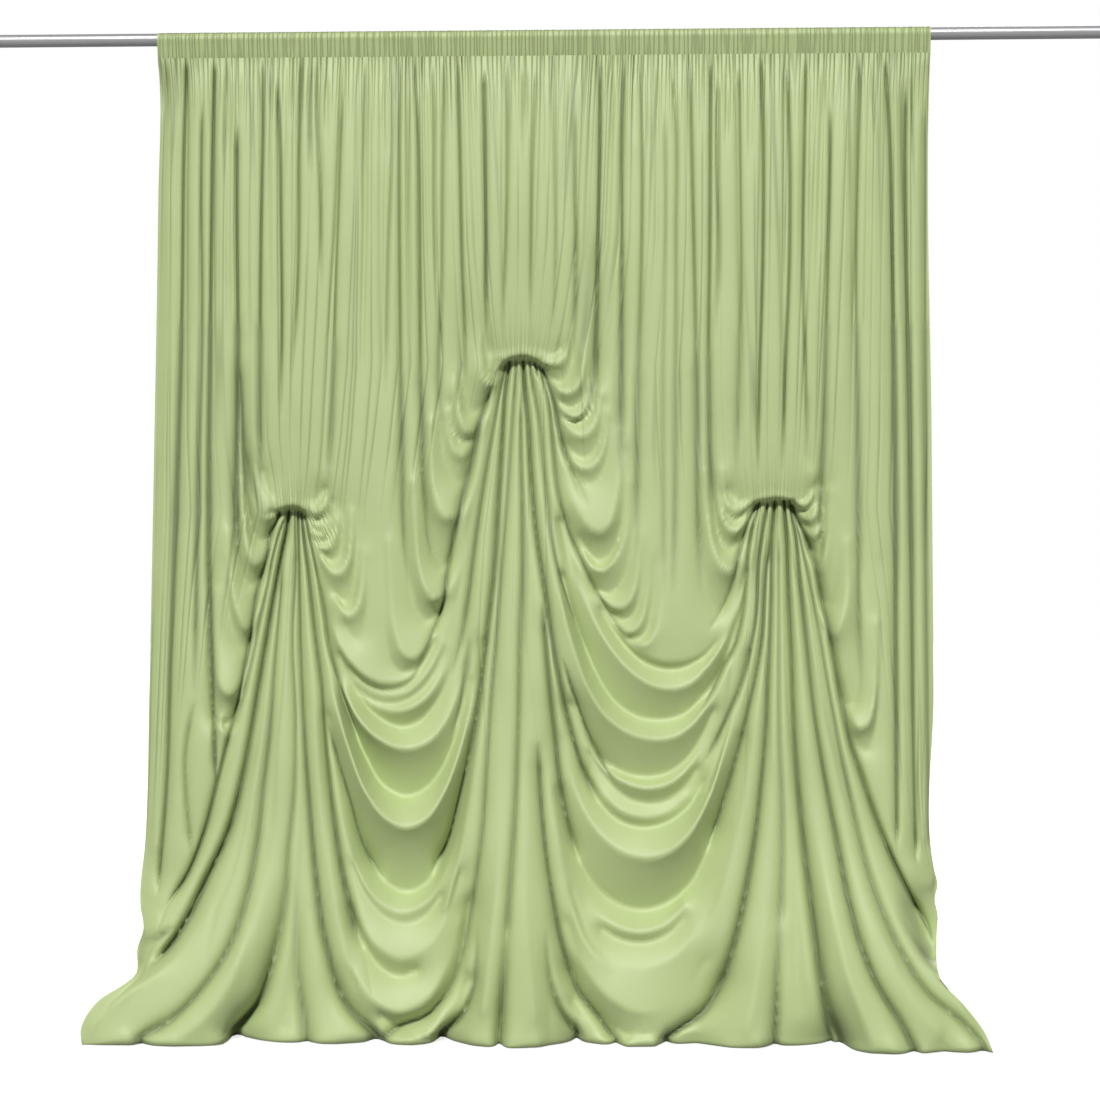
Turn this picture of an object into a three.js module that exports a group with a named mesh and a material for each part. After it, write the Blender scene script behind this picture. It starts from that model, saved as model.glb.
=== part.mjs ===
// Spandex backdrop curtain, shirred on a round rod by the pocket sewn along its top edge.
// Three gathers pull it up, and from each a fan of folds falls to the floor.
// Millimetres, +Z up, front towards -Y, origin on the floor under the middle.

import * as THREE from "three";

// Driving dimensions, in millimetres
const ROD_LENGTH = 3400;
const ROD_RADIUS = 19;
const ROD_SIDES = 48;
const ROD_HEIGHT = 3010;
const SEAM_HEIGHT = 2952;
const CLOTH_THICKNESS = 2;
const REST_GAP = 0.3;
const POCKET_RADIUS = 23;
const POCKET_REACH = 115;
const POCKET_STEPS = 5;
const POCKET_HALF_STEP = POCKET_REACH / POCKET_STEPS;

// The fold tables give places on the hanging cloth as a viewer 7 m in front of it sees them, who
// stands a little to the right. Their unit is 3 mm: x runs right, y runs down, and stand-off comes
// towards the viewer from the heading's plane.
const UNIT = 3;
const MIDDLE_X = 544;
const EYE_X = 550;
const EYE_Y = 550;
const EYE_HEIGHT = 490;
const EYE_DISTANCE = 2333;
const EYE_ACROSS = 94.7;
const TURN_SCALE = 0.0000163;

// Outline of the cloth: y, x of the left edge, x of the right edge
const OUTLINE = [
  { y: 30, left: 155, right: 932 },
  { y: 75, left: 159, right: 930 },
  { y: 200, left: 158, right: 931 },
  { y: 440, left: 154, right: 932 },
  { y: 690, left: 149, right: 934 },
  { y: 872, left: 142, right: 936 },
  { y: 930, left: 141, right: 937 },
  { y: 975, left: 133, right: 942 },
  { y: 984, left: 124, right: 946 },
  { y: 1003, left: 95, right: 964 },
  { y: 1029, left: 82, right: 988 },
  { y: 1048, left: 84, right: 998 },
];

// Valleys between the pleats: x at the seam, x once they hang straight, and depth
const PLEATS = [
  { seam: 187, hung: 182, depth: 6 },
  { seam: 203, hung: 202, depth: 4 },
  { seam: 215, hung: 211, depth: 7 },
  { seam: 237, hung: 237, depth: 7 },
  { seam: 280, hung: 281, depth: 5 },
  { seam: 301, hung: 299, depth: 4 },
  { seam: 316, hung: 319, depth: 4 },
  { seam: 366, hung: 363, depth: 4 },
  { seam: 393, hung: 390, depth: 4 },
  { seam: 416, hung: 420, depth: 6 },
  { seam: 443, hung: 442, depth: 5 },
  { seam: 459, hung: 462, depth: 5 },
  { seam: 508, hung: 506, depth: 5 },
  { seam: 523, hung: 521, depth: 4 },
  { seam: 536, hung: 537, depth: 4 },
  { seam: 554, hung: 556, depth: 4 },
  { seam: 578, hung: 576, depth: 5 },
  { seam: 624, hung: 622, depth: 6 },
  { seam: 640, hung: 642, depth: 4 },
  { seam: 671, hung: 676, depth: 4 },
  { seam: 690, hung: 694, depth: 5 },
  { seam: 712, hung: 714, depth: 6 },
  { seam: 762, hung: 763, depth: 6 },
  { seam: 788, hung: 790, depth: 5 },
  { seam: 806, hung: 806, depth: 4 },
  { seam: 860, hung: 856, depth: 6 },
  { seam: 886, hung: 892, depth: 7 },
  { seam: 907, hung: 907, depth: 6 },
];
const SEAM_LEVEL = 60;
const HUNG_LEVEL = 240;

// Lines along the flanks of the three fans, up to the seam: level and x. The cloth's columns
// keep their shares of the way between neighbouring lines, so they draw in at the gathers.
const FLANKS = {
  leftFanLeft: [[60, 263], [240, 261], [440, 260], [490, 268], [512, 280], [553, 268], [612, 254],
    [695, 239], [778, 218], [832, 204], [876, 186], [906, 166], [976, 140], [1005, 108], [1038, 92]],
  leftFanRight: [[60, 342], [240, 337], [440, 331], [490, 327], [512, 305], [560, 317], [625, 327],
    [700, 333], [760, 340], [850, 350], [950, 362], [1038, 378]],
  middleFanLeft: [[60, 485], [330, 487], [350, 489], [366, 498], [440, 484], [540, 466], [640, 460],
    [740, 468], [840, 462], [900, 458], [960, 452], [1038, 447]],
  middleFanRight: [[60, 600], [330, 596], [352, 566], [366, 546], [440, 552], [500, 558], [640, 562],
    [740, 574], [1038, 575]],
  rightFanLeft: [[60, 739], [240, 741], [440, 738], [488, 734], [508, 752], [560, 744], [620, 734],
    [700, 728], [760, 722], [860, 712], [940, 704], [1038, 697]],
  rightFanRight: [[60, 830], [240, 828], [440, 824], [488, 816], [508, 798], [560, 812], [605, 826],
    [655, 833], [705, 843], [775, 861], [855, 891], [912, 920], [944, 932], [976, 938], [1038, 990]],
};
const FLANK_DEPTH = 6;
const FAN_PLEAT_DEPTH = 4;

// Main folds, ridges and hollows alike: a path of a few stations, then the stand-off from the
// heading's plane at the path's start, middle and end
const FOLDS = [
  { name: "left loose edge", start: -7, middle: -9, end: -8,
    path: [[157, 80], [154, 500], [144, 850], [137, 965]] },
  { name: "left edge roll", start: 0, middle: 0, end: 2, path: [[170, 120], [166, 600], [156, 850]] },
  { name: "right loose edge", start: -6, middle: -8, end: -12,
    path: [[930, 80], [931, 400], [936, 900], [938, 960]] },
  { name: "right edge roll", start: 1, middle: 1, end: 1, path: [[918, 120], [921, 500], [925, 840]] },
  { name: "right edge hollow", start: -8, middle: -10, end: -8, path: [[912, 905], [922, 930], [932, 960]] },

  { name: "left gather puff", start: 2, middle: 11, end: 3,
    path: [[262, 470], [268, 490], [291, 496], [316, 502], [326, 488]] },
  { name: "left gather lip", start: 7, middle: 13, end: 7, path: [[271, 503], [291, 503], [313, 511]] },
  { name: "left gather mouth", start: -6, middle: -9, end: -6, path: [[276, 515], [291, 509], [305, 516]] },
  { name: "left fan outer fold", start: -6, middle: 7, end: 4,
    path: [[284, 520], [270, 575], [250, 662], [234, 742], [210, 817], [160, 915]] },
  { name: "left fan sweep", start: -6, middle: 13, end: 40,
    path: [[286, 520], [274, 625], [249, 792], [206, 913], [168, 965], [118, 1001], [90, 1026]] },
  { name: "left fan second sweep", start: -5, middle: 14, end: 50,
    path: [[290, 522], [285, 640], [274, 800], [240, 958], [212, 1010], [180, 1036]] },
  { name: "left fan middle fold", start: -1, middle: 11, end: 20,
    path: [[296, 560], [301, 800], [292, 980], [284, 1030]] },
  { name: "left fan inner fold", start: -4, middle: 13, end: 26,
    path: [[301, 530], [314, 700], [328, 860], [356, 985]] },

  { name: "left swag first ridge", start: 2, middle: 17, end: 4,
    path: [[322, 560], [345, 640], [366, 668], [389, 684], [412, 678], [430, 655], [442, 622]] },
  { name: "left swag first hollow", start: 2, middle: 7, end: 2,
    path: [[338, 648], [352, 683], [383, 720], [400, 727], [434, 705], [457, 645]] },
  { name: "left swag second ridge", start: 2, middle: 21, end: 4,
    path: [[318, 590], [342, 690], [380, 740], [405, 749], [446, 721], [459, 690], [468, 645]] },
  { name: "left swag second hollow", start: 1, middle: 6, end: 2,
    path: [[325, 630], [352, 722], [384, 786], [405, 796], [440, 772], [462, 715], [471, 680]] },
  { name: "left swag third ridge", start: 4, middle: 23, end: 5,
    path: [[316, 590], [335, 700], [367, 795], [405, 828], [442, 796], [466, 728], [484, 640]] },
  { name: "left swag third hollow", start: 2, middle: 7, end: 2,
    path: [[328, 715], [352, 807], [386, 882], [408, 892], [445, 850], [467, 765], [481, 690]] },
  { name: "left swag fourth ridge", start: 12, middle: 17, end: 12,
    path: [[330, 780], [358, 873], [402, 913], [446, 870], [460, 830]] },
  { name: "left swag fifth ridge", start: 17, middle: 22, end: 14,
    path: [[340, 860], [378, 948], [403, 960], [427, 948], [462, 870]] },
  { name: "left swag sixth ridge", start: 22, middle: 32, end: 16,
    path: [[335, 900], [372, 1000], [398, 1012], [425, 1002], [460, 920]] },
  { name: "left swag foot", start: 22, middle: 34, end: 14,
    path: [[340, 985], [382, 1034], [411, 1039], [437, 1032], [469, 978]] },

  { name: "middle gather puff", start: 3, middle: 11, end: 3,
    path: [[482, 345], [492, 352], [522, 345], [555, 354], [566, 345]] },
  { name: "middle gather lip", start: 6, middle: 13, end: 6, path: [[494, 362], [522, 353], [556, 365]] },
  { name: "middle gather mouth", start: -6, middle: -9, end: -6, path: [[498, 370], [522, 361], [546, 371]] },
  { name: "middle fan left edge", start: -5, middle: 5, end: 4,
    path: [[500, 382], [486, 440], [459, 588], [448, 640]] },
  { name: "middle fan left fold", start: -4, middle: 11, end: 20,
    path: [[505, 400], [491, 600], [478, 742], [458, 862], [445, 910]] },
  { name: "middle fan near left fold", start: -6, middle: 14, end: 40,
    path: [[514, 372], [508, 600], [502, 800], [483, 1012]] },
  { name: "middle fan near right fold", start: -6, middle: 14, end: 42,
    path: [[526, 376], [532, 700], [527, 900], [534, 1020]] },
  { name: "middle fan right fold", start: 12, middle: 20, end: 28,
    path: [[546, 740], [558, 840], [587, 945], [612, 975]] },

  { name: "right swag first ridge", start: 0, middle: 19, end: 1,
    path: [[552, 500], [588, 607], [632, 672], [671, 689], [706, 668], [735, 612], [747, 570]] },
  { name: "right swag first hollow", start: -1, middle: 7, end: 0,
    path: [[548, 500], [567, 595], [597, 675], [657, 720], [700, 700], [727, 652], [750, 570]] },
  { name: "right swag second ridge", start: -4, middle: 21, end: -2,
    path: [[535, 380], [552, 530], [576, 655], [606, 716], [652, 739], [707, 706], [737, 640], [758, 540]] },
  { name: "right swag second hollow", start: 3, middle: 9, end: 4,
    path: [[562, 680], [590, 742], [630, 775], [668, 773], [702, 735], [714, 710]] },
  { name: "right swag third ridge", start: 5, middle: 13, end: 5,
    path: [[588, 750], [606, 785], [646, 802], [668, 798], [700, 762]] },
  { name: "right swag third hollow", start: 3, middle: 8, end: 4,
    path: [[583, 769], [622, 822], [646, 827], [690, 806], [704, 782]] },
  { name: "right swag fourth ridge", start: 4, middle: 23, end: 4,
    path: [[548, 690], [569, 776], [605, 839], [646, 858], [688, 836], [726, 742], [750, 650]] },
  { name: "right swag fourth hollow", start: 2, middle: 8, end: 3,
    path: [[558, 790], [581, 864], [625, 907], [645, 910], [690, 884], [720, 812], [742, 735]] },
  { name: "right swag fifth ridge", start: 15, middle: 22, end: 14,
    path: [[572, 890], [614, 961], [640, 968], [672, 958], [720, 880]] },
  { name: "right swag sixth ridge", start: 20, middle: 31, end: 18,
    path: [[566, 920], [612, 1000], [645, 1012], [682, 996], [708, 958]] },
  { name: "right swag foot", start: 14, middle: 32, end: 12,
    path: [[572, 1000], [618, 1040], [655, 1039], [708, 1005], [724, 976]] },

  { name: "right gather puff", start: 3, middle: 11, end: 3,
    path: [[728, 490], [738, 502], [775, 490], [806, 498], [814, 485]] },
  { name: "right gather lip", start: 7, middle: 13, end: 7, path: [[742, 510], [775, 497], [803, 510]] },
  { name: "right gather mouth", start: -6, middle: -9, end: -6, path: [[750, 516], [775, 504], [796, 514]] },
  { name: "right fan left edge", start: -6, middle: 5, end: 6,
    path: [[762, 518], [737, 612], [704, 662]] },
  { name: "right fan left fold", start: -5, middle: 9, end: 9,
    path: [[768, 518], [749, 660], [708, 790]] },
  { name: "right fan long left fold", start: -4, middle: 13, end: 22,
    path: [[770, 522], [760, 705], [741, 820], [708, 930], [688, 962]] },
  { name: "right fan middle fold", start: -5, middle: 15, end: 36,
    path: [[775, 522], [772, 820], [762, 950], [746, 1030]] },
  { name: "right fan inner fold", start: 0, middle: 13, end: 26,
    path: [[784, 560], [791, 800], [797, 950], [800, 1018]] },
  { name: "right fan first sweep", start: -4, middle: 16, end: 60,
    path: [[786, 522], [804, 700], [823, 860], [853, 990], [872, 1033]] },
  { name: "right fan second sweep", start: -4, middle: 15, end: 54,
    path: [[791, 520], [818, 670], [845, 810], [880, 930], [940, 1030]] },
  { name: "right fan outer sweep", start: -4, middle: 12, end: 42,
    path: [[796, 518], [828, 650], [856, 780], [892, 888], [941, 980], [994, 1038]] },
];

// Stand-off of the cloth where it reaches the floor
const HEM = [
  { x: 85, out: 38 }, { x: 115, out: 46 }, { x: 172, out: 52 }, { x: 215, out: 40 }, { x: 248, out: 14 },
  { x: 283, out: 24 }, { x: 331, out: 32 }, { x: 379, out: 26 }, { x: 411, out: 34 }, { x: 446, out: 6 },
  { x: 471, out: 33 }, { x: 500, out: 46 }, { x: 538, out: 40 }, { x: 575, out: 8 }, { x: 610, out: 30 },
  { x: 650, out: 32 }, { x: 696, out: 12 }, { x: 730, out: 30 }, { x: 760, out: 36 }, { x: 789, out: 22 },
  { x: 821, out: 12 }, { x: 845, out: 26 }, { x: 872, out: 58 }, { x: 895, out: 64 }, { x: 920, out: 56 },
  { x: 945, out: 42 }, { x: 970, out: 52 }, { x: 996, out: 46 },
];

// Levels of the rows of facets: at the fans, and at the lowest points of the two swags, where the
// rows lie along the swags' ridges and hollows
const ROWS = [
  { fans: 66, leftSwag: 66, rightSwag: 66 },
  { fans: 90, leftSwag: 90, rightSwag: 90 },
  { fans: 160, leftSwag: 160, rightSwag: 160 },
  { fans: 255, leftSwag: 265, rightSwag: 265 },
  { fans: 335, leftSwag: 360, rightSwag: 360 },
  { fans: 349, leftSwag: 395, rightSwag: 395 },
  { fans: 361, leftSwag: 425, rightSwag: 425 },
  { fans: 385, leftSwag: 455, rightSwag: 455 },
  { fans: 425, leftSwag: 490, rightSwag: 490 },
  { fans: 465, leftSwag: 525, rightSwag: 525 },
  { fans: 490, leftSwag: 560, rightSwag: 560 },
  { fans: 502, leftSwag: 590, rightSwag: 595 },
  { fans: 514, leftSwag: 620, rightSwag: 625 },
  { fans: 550, leftSwag: 650, rightSwag: 655 },
  { fans: 595, leftSwag: 684, rightSwag: 689 },
  { fans: 635, leftSwag: 727, rightSwag: 720 },
  { fans: 670, leftSwag: 749, rightSwag: 739 },
  { fans: 705, leftSwag: 796, rightSwag: 777 },
  { fans: 740, leftSwag: 828, rightSwag: 820 },
  { fans: 772, leftSwag: 848, rightSwag: 858 },
  { fans: 812, leftSwag: 892, rightSwag: 908 },
  { fans: 850, leftSwag: 913, rightSwag: 933 },
  { fans: 885, leftSwag: 938, rightSwag: 950 },
  { fans: 918, leftSwag: 960, rightSwag: 968 },
  { fans: 950, leftSwag: 985, rightSwag: 992 },
  { fans: 982, leftSwag: 1010, rightSwag: 1012 },
  { fans: 1012, leftSwag: 1026, rightSwag: 1028 },
];
const FLOOR_LEVEL = 1038;
const BELOW_FLOOR = 14;
const FLOOR_ROLL_RADIUS = 7;
const FLOOR_ROLL_TURNS = [35, 90, 140, 172];

const clamp = (value, low, high) => Math.min(Math.max(value, low), high);
const ease = (share) => share * share * (3 - 2 * share);
const mix = (from, to, share) => from + (to - from) * share;

// Value of one column of a table between its rows
function lookUp(table, key, value, at) {
  let next = table.findIndex((row) => row[key] > at);
  if (next === -1) next = table.length - 1;
  next = Math.max(next, 1);
  const low = table[next - 1];
  const high = table[next];
  const share = clamp((at - low[key]) / (high[key] - low[key]), 0, 1);
  return mix(low[value], high[value], share);
}

// Evenly spaced places along a smooth curve through a fold's stations, each with its share of the way
function walkPath(path, spacing) {
  const stations = path.map(([x, y]) => new THREE.Vector3(x, y, 0));
  const curve = new THREE.CatmullRomCurve3(stations, false, "centripetal");
  const steps = Math.max(Math.round(curve.getLength() / spacing), 4);
  const places = [];
  for (let step = 0; step <= steps; step++) {
    const share = step / steps;
    places.push({ point: curve.getPointAt(share), share });
  }
  return places;
}

// The cloth's broad shape is a stretched membrane, slightly blown out, that the folds hold.
// It is relaxed on a grid, first coarse and then fine.
const FIELD = { xLow: 60, xHigh: 1020, yLow: 24, yHigh: 1060, finest: 4, levels: 4, sweeps: 80 };
const FOLD_HOLD = 6;
const LOOSE_HOLD = 0.00035;
const BLOW = 0.006;
const RELAX = 1.6;
const PRESS_SPACING = 2;

// How far the cloth leans forward at its foot, where that begins, and how far inside the straight
// side edges it is full
const FOOT_LEAN = 22;
const LEAN_TOP = 380;
const LEAN_BOTTOM = 1040;
const LEAN_LEFT = 150;
const LEAN_RIGHT = 940;
const LEAN_EDGE = 80;

function emptyGrid(cell) {
  const columns = Math.floor((FIELD.xHigh - FIELD.xLow) / cell) + 1;
  const rows = Math.floor((FIELD.yHigh - FIELD.yLow) / cell) + 1;
  return { cell, columns, rows, value: new Float64Array(columns * rows) };
}

// The four grid points around a place, with their shares
function corners(grid, x, y) {
  const gx = clamp((x - FIELD.xLow) / grid.cell, 0, grid.columns - 1);
  const gy = clamp((y - FIELD.yLow) / grid.cell, 0, grid.rows - 1);
  const column = Math.min(Math.floor(gx), grid.columns - 2);
  const row = Math.min(Math.floor(gy), grid.rows - 2);
  const fx = gx - column;
  const fy = gy - row;
  const first = row * grid.columns + column;
  return [
    [first, (1 - fx) * (1 - fy)],
    [first + 1, fx * (1 - fy)],
    [first + grid.columns, (1 - fx) * fy],
    [first + grid.columns + 1, fx * fy],
  ];
}

function readGrid(grid, x, y) {
  return corners(grid, x, y).reduce((sum, [index, share]) => sum + share * grid.value[index], 0);
}

// How the cloth leans forward towards its foot, away from its straight side edges
function footLean(x, y) {
  const down = ease(clamp((y - LEAN_TOP) / (LEAN_BOTTOM - LEAN_TOP), 0, 1));
  const inside = clamp((x - LEAN_LEFT) / LEAN_EDGE, 0, 1) * clamp((LEAN_RIGHT - x) / LEAN_EDGE, 0, 1);
  return FOOT_LEAN * down * inside;
}

// Weights and goals that the folds, the seam and the hem put on a grid
function foldHold(cell) {
  const weight = emptyGrid(cell);
  const total = emptyGrid(cell);
  const spacing = Math.min(cell, PRESS_SPACING);
  const press = (x, y, out) => {
    for (const [index, share] of corners(weight, x, y)) {
      weight.value[index] += (share * FOLD_HOLD * spacing) / cell;
      total.value[index] += (share * FOLD_HOLD * spacing * out) / cell;
    }
  };
  for (const fold of FOLDS) {
    for (const { point, share } of walkPath(fold.path, spacing)) {
      const crest = 0.5 - 0.5 * Math.cos(2 * Math.PI * share);
      const foot = share < 0.5 ? fold.start : fold.end;
      press(point.x, point.y, mix(foot, fold.middle, crest));
    }
  }
  for (let x = OUTLINE[0].left; x <= OUTLINE[0].right; x += spacing) press(x, SEAM_LEVEL, 0);
  for (let x = HEM[0].x; x <= HEM[HEM.length - 1].x; x += spacing) {
    const out = lookUp(HEM, "x", "out", x);
    press(x, FLOOR_LEVEL, out);
    press(x, FLOOR_LEVEL + BELOW_FLOOR, out);
  }
  return { weight, total };
}

function relax(grid, hold) {
  const { columns, rows, value, cell } = grid;
  const blow = BLOW * cell * cell;
  const loose = LOOSE_HOLD * cell * cell;
  const at = (column, row) => value[clamp(row, 0, rows - 1) * columns + clamp(column, 0, columns - 1)];
  for (let sweep = 0; sweep < FIELD.sweeps; sweep++) {
    for (let row = 0; row < rows; row++) {
      for (let column = 0; column < columns; column++) {
        const index = row * columns + column;
        const around = at(column - 1, row) + at(column + 1, row) + at(column, row - 1) + at(column, row + 1);
        const lean = footLean(FIELD.xLow + column * cell, FIELD.yLow + row * cell);
        const pull = hold.weight.value[index] + loose;
        const fresh = (around + hold.total.value[index] + loose * lean + blow) / (4 + pull);
        value[index] += RELAX * (fresh - value[index]);
      }
    }
  }
}

function solveBroadShape() {
  let grid = null;
  for (let level = FIELD.levels - 1; level >= 0; level--) {
    const finer = emptyGrid(FIELD.finest * 2 ** level);
    if (grid) {
      for (let row = 0; row < finer.rows; row++) {
        for (let column = 0; column < finer.columns; column++) {
          const x = FIELD.xLow + column * finer.cell;
          const y = FIELD.yLow + row * finer.cell;
          finer.value[row * finer.columns + column] = readGrid(grid, x, y);
        }
      }
    }
    relax(finer, foldHold(finer.cell));
    grid = finer;
  }
  return grid;
}

const broadShape = solveBroadShape();

// Vertical strips between the flank lines, from the left edge to the right edge
const STRIPS = [
  { kind: "side", left: null, right: "leftFanLeft" },
  { kind: "fan", left: "leftFanLeft", right: "leftFanRight" },
  { kind: "leftSwag", left: "leftFanRight", right: "middleFanLeft" },
  { kind: "fan", left: "middleFanLeft", right: "middleFanRight" },
  { kind: "rightSwag", left: "middleFanRight", right: "rightFanLeft" },
  { kind: "fan", left: "rightFanLeft", right: "rightFanRight" },
  { kind: "side", left: "rightFanRight", right: null },
];
const MIN_CREST_GAP = 19;
const MIN_FLANK_GAP = 1;

function flankX(name, y, edge) {
  if (name === null) return lookUp(OUTLINE, "y", edge, y);
  const table = FLANKS[name].map(([level, x]) => ({ level, x }));
  return lookUp(table, "level", "x", y);
}

// Columns of facets, strip by strip: the strip's left line, then its pleats' valleys, with a
// crest between two lines that lie far enough apart
function columnPlans() {
  const plans = [];
  STRIPS.forEach((strip, order) => {
    const left = flankX(strip.left, HUNG_LEVEL, "left");
    const right = flankX(strip.right, HUNG_LEVEL, "right");
    const share = (x) => (x - left) / (right - left);
    const isInside = ({ hung }) => hung > left + MIN_FLANK_GAP && hung < right - MIN_FLANK_GAP;
    const inside = PLEATS.filter(isInside);
    plans.push({ strip, share: 0, drift: 0, depth: 0, flank: order > 0 });
    let before = left;
    for (const pleat of [...inside, { hung: right }]) {
      if (pleat.hung - before > MIN_CREST_GAP) {
        plans.push({ strip, share: share((before + pleat.hung) / 2), drift: 0, depth: 0 });
      }
      if (pleat.seam) {
        plans.push({ strip, share: share(pleat.hung), drift: pleat.seam - pleat.hung, depth: pleat.depth });
      }
      before = pleat.hung;
    }
  });
  plans.push({ strip: STRIPS[STRIPS.length - 1], share: 1, drift: 0, depth: 0 });
  return plans;
}

function columnX(plan, y) {
  const left = flankX(plan.strip.left, y, "left");
  const right = flankX(plan.strip.right, y, "right");
  const drift = plan.drift * clamp((HUNG_LEVEL - y) / (HUNG_LEVEL - SEAM_LEVEL), 0, 1);
  return mix(left, right, plan.share) + drift;
}

// Level of a row on one column: level across the fans and sides, sagging across a swag
const SAG_SHARPNESS = 2.2;

function rowLevel(row, plan) {
  const lowest = row[plan.strip.kind];
  if (lowest === undefined) return row.fans;
  const sag = 1 - Math.abs(2 * plan.share - 1) ** SAG_SHARPNESS;
  return mix(row.fans, lowest, sag);
}

// Pleats deepen just below the seam. Those of a fan run on to the floor, and the others die out
// between two levels, above the swags or near the foot.
const PLEAT_GROWS = 30;
const FAN_LEVEL = 500;
const FAN_BLEND = 60;
const PLEAT_LEAVES = {
  side: { from: 820, to: 950 },
  leftSwag: { from: 500, to: 640 },
  rightSwag: { from: 500, to: 640 },
};

function grooveDepth(plan, y) {
  const grown = clamp((y - SEAM_LEVEL) / PLEAT_GROWS, 0, 1);
  if (plan.flank) return FLANK_DEPTH * grown;
  if (plan.strip.kind === "fan") {
    const fanned = clamp((y - FAN_LEVEL) / FAN_BLEND, 0, 1);
    return plan.depth === 0 ? 0 : mix(plan.depth, FAN_PLEAT_DEPTH, fanned) * grown;
  }
  const { from, to } = PLEAT_LEAVES[plan.strip.kind];
  return plan.depth * grown * (1 - clamp((y - from) / (to - from), 0, 1));
}

function standOff(plan, x, y) {
  return readGrid(broadShape, x, y) - grooveDepth(plan, y);
}

// A table place with its stand-off, put where it really hangs, in millimetres
function realPlace(x, y, out) {
  const nearness = out / EYE_DISTANCE;
  const scale = 1 - TURN_SCALE * (x - EYE_X);
  const across = (x - EYE_X) * scale + EYE_X - MIDDLE_X;
  const up = (EYE_Y - y) * scale;
  const height = EYE_HEIGHT + mix(up, 0, nearness);
  return [mix(across, EYE_ACROSS, nearness) * UNIT, -out * UNIT, height * UNIT];
}

// The line of the cloth down one column: from the seam to the end of the roll on the floor
function columnLine(plan) {
  const line = [];
  const [seamX] = realPlace(columnX(plan, SEAM_LEVEL), SEAM_LEVEL, 0);
  line.push([seamX, 0, SEAM_HEIGHT]);
  for (const row of ROWS) {
    const y = rowLevel(row, plan);
    const x = columnX(plan, y);
    line.push(realPlace(x, y, standOff(plan, x, y)));
  }
  const radius = FLOOR_ROLL_RADIUS * UNIT;
  const footX = columnX(plan, FLOOR_LEVEL);
  const foot = realPlace(footX, FLOOR_LEVEL, standOff(plan, footX, FLOOR_LEVEL));
  for (const turn of FLOOR_ROLL_TURNS) {
    const angle = THREE.MathUtils.degToRad(turn);
    const forward = radius * Math.sin(angle);
    const height = radius * (1 + Math.cos(angle)) + CLOTH_THICKNESS / 2;
    line.push([foot[0], foot[1] - forward, height]);
  }
  return line;
}

// Both faces of the cloth at a grid of points on its middle surface
function clothFaces(lines) {
  const columns = lines.length;
  const rows = lines[0].length;
  const place = (column, row) => {
    const line = lines[clamp(column, 0, columns - 1)];
    return new THREE.Vector3(...line[clamp(row, 0, rows - 1)]);
  };
  const front = [];
  const back = [];
  for (let column = 0; column < columns; column++) {
    front.push([]);
    back.push([]);
    for (let row = 0; row < rows; row++) {
      const across = place(column + 1, row).sub(place(column - 1, row));
      const down = place(column, row + 1).sub(place(column, row - 1));
      const normal = down.cross(across).normalize();
      front[column].push(place(column, row).addScaledVector(normal, CLOTH_THICKNESS / 2));
      back[column].push(place(column, row).addScaledVector(normal, -CLOTH_THICKNESS / 2));
    }
    front[column][0].set(lines[column][0][0], -CLOTH_THICKNESS, SEAM_HEIGHT);
    back[column][0].set(lines[column][0][0], CLOTH_THICKNESS, SEAM_HEIGHT);
  }
  return { front, back };
}

// Section of the pocket at one radius, as (out, height) pairs: up the front, over the rod and down
// the back. The middle step is a flat that lies on top of the rod.
const halfStep = THREE.MathUtils.degToRad(POCKET_HALF_STEP);

function pocketSection(radius) {
  const centre = ROD_HEIGHT + ROD_RADIUS + REST_GAP - POCKET_RADIUS * Math.cos(halfStep);
  const reach = THREE.MathUtils.degToRad(POCKET_REACH);
  const section = [];
  for (let step = 0; step <= POCKET_STEPS; step++) {
    const angle = mix(reach, -reach, step / POCKET_STEPS);
    section.push([radius * Math.sin(angle), centre + radius * Math.cos(angle)]);
  }
  return section;
}

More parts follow.
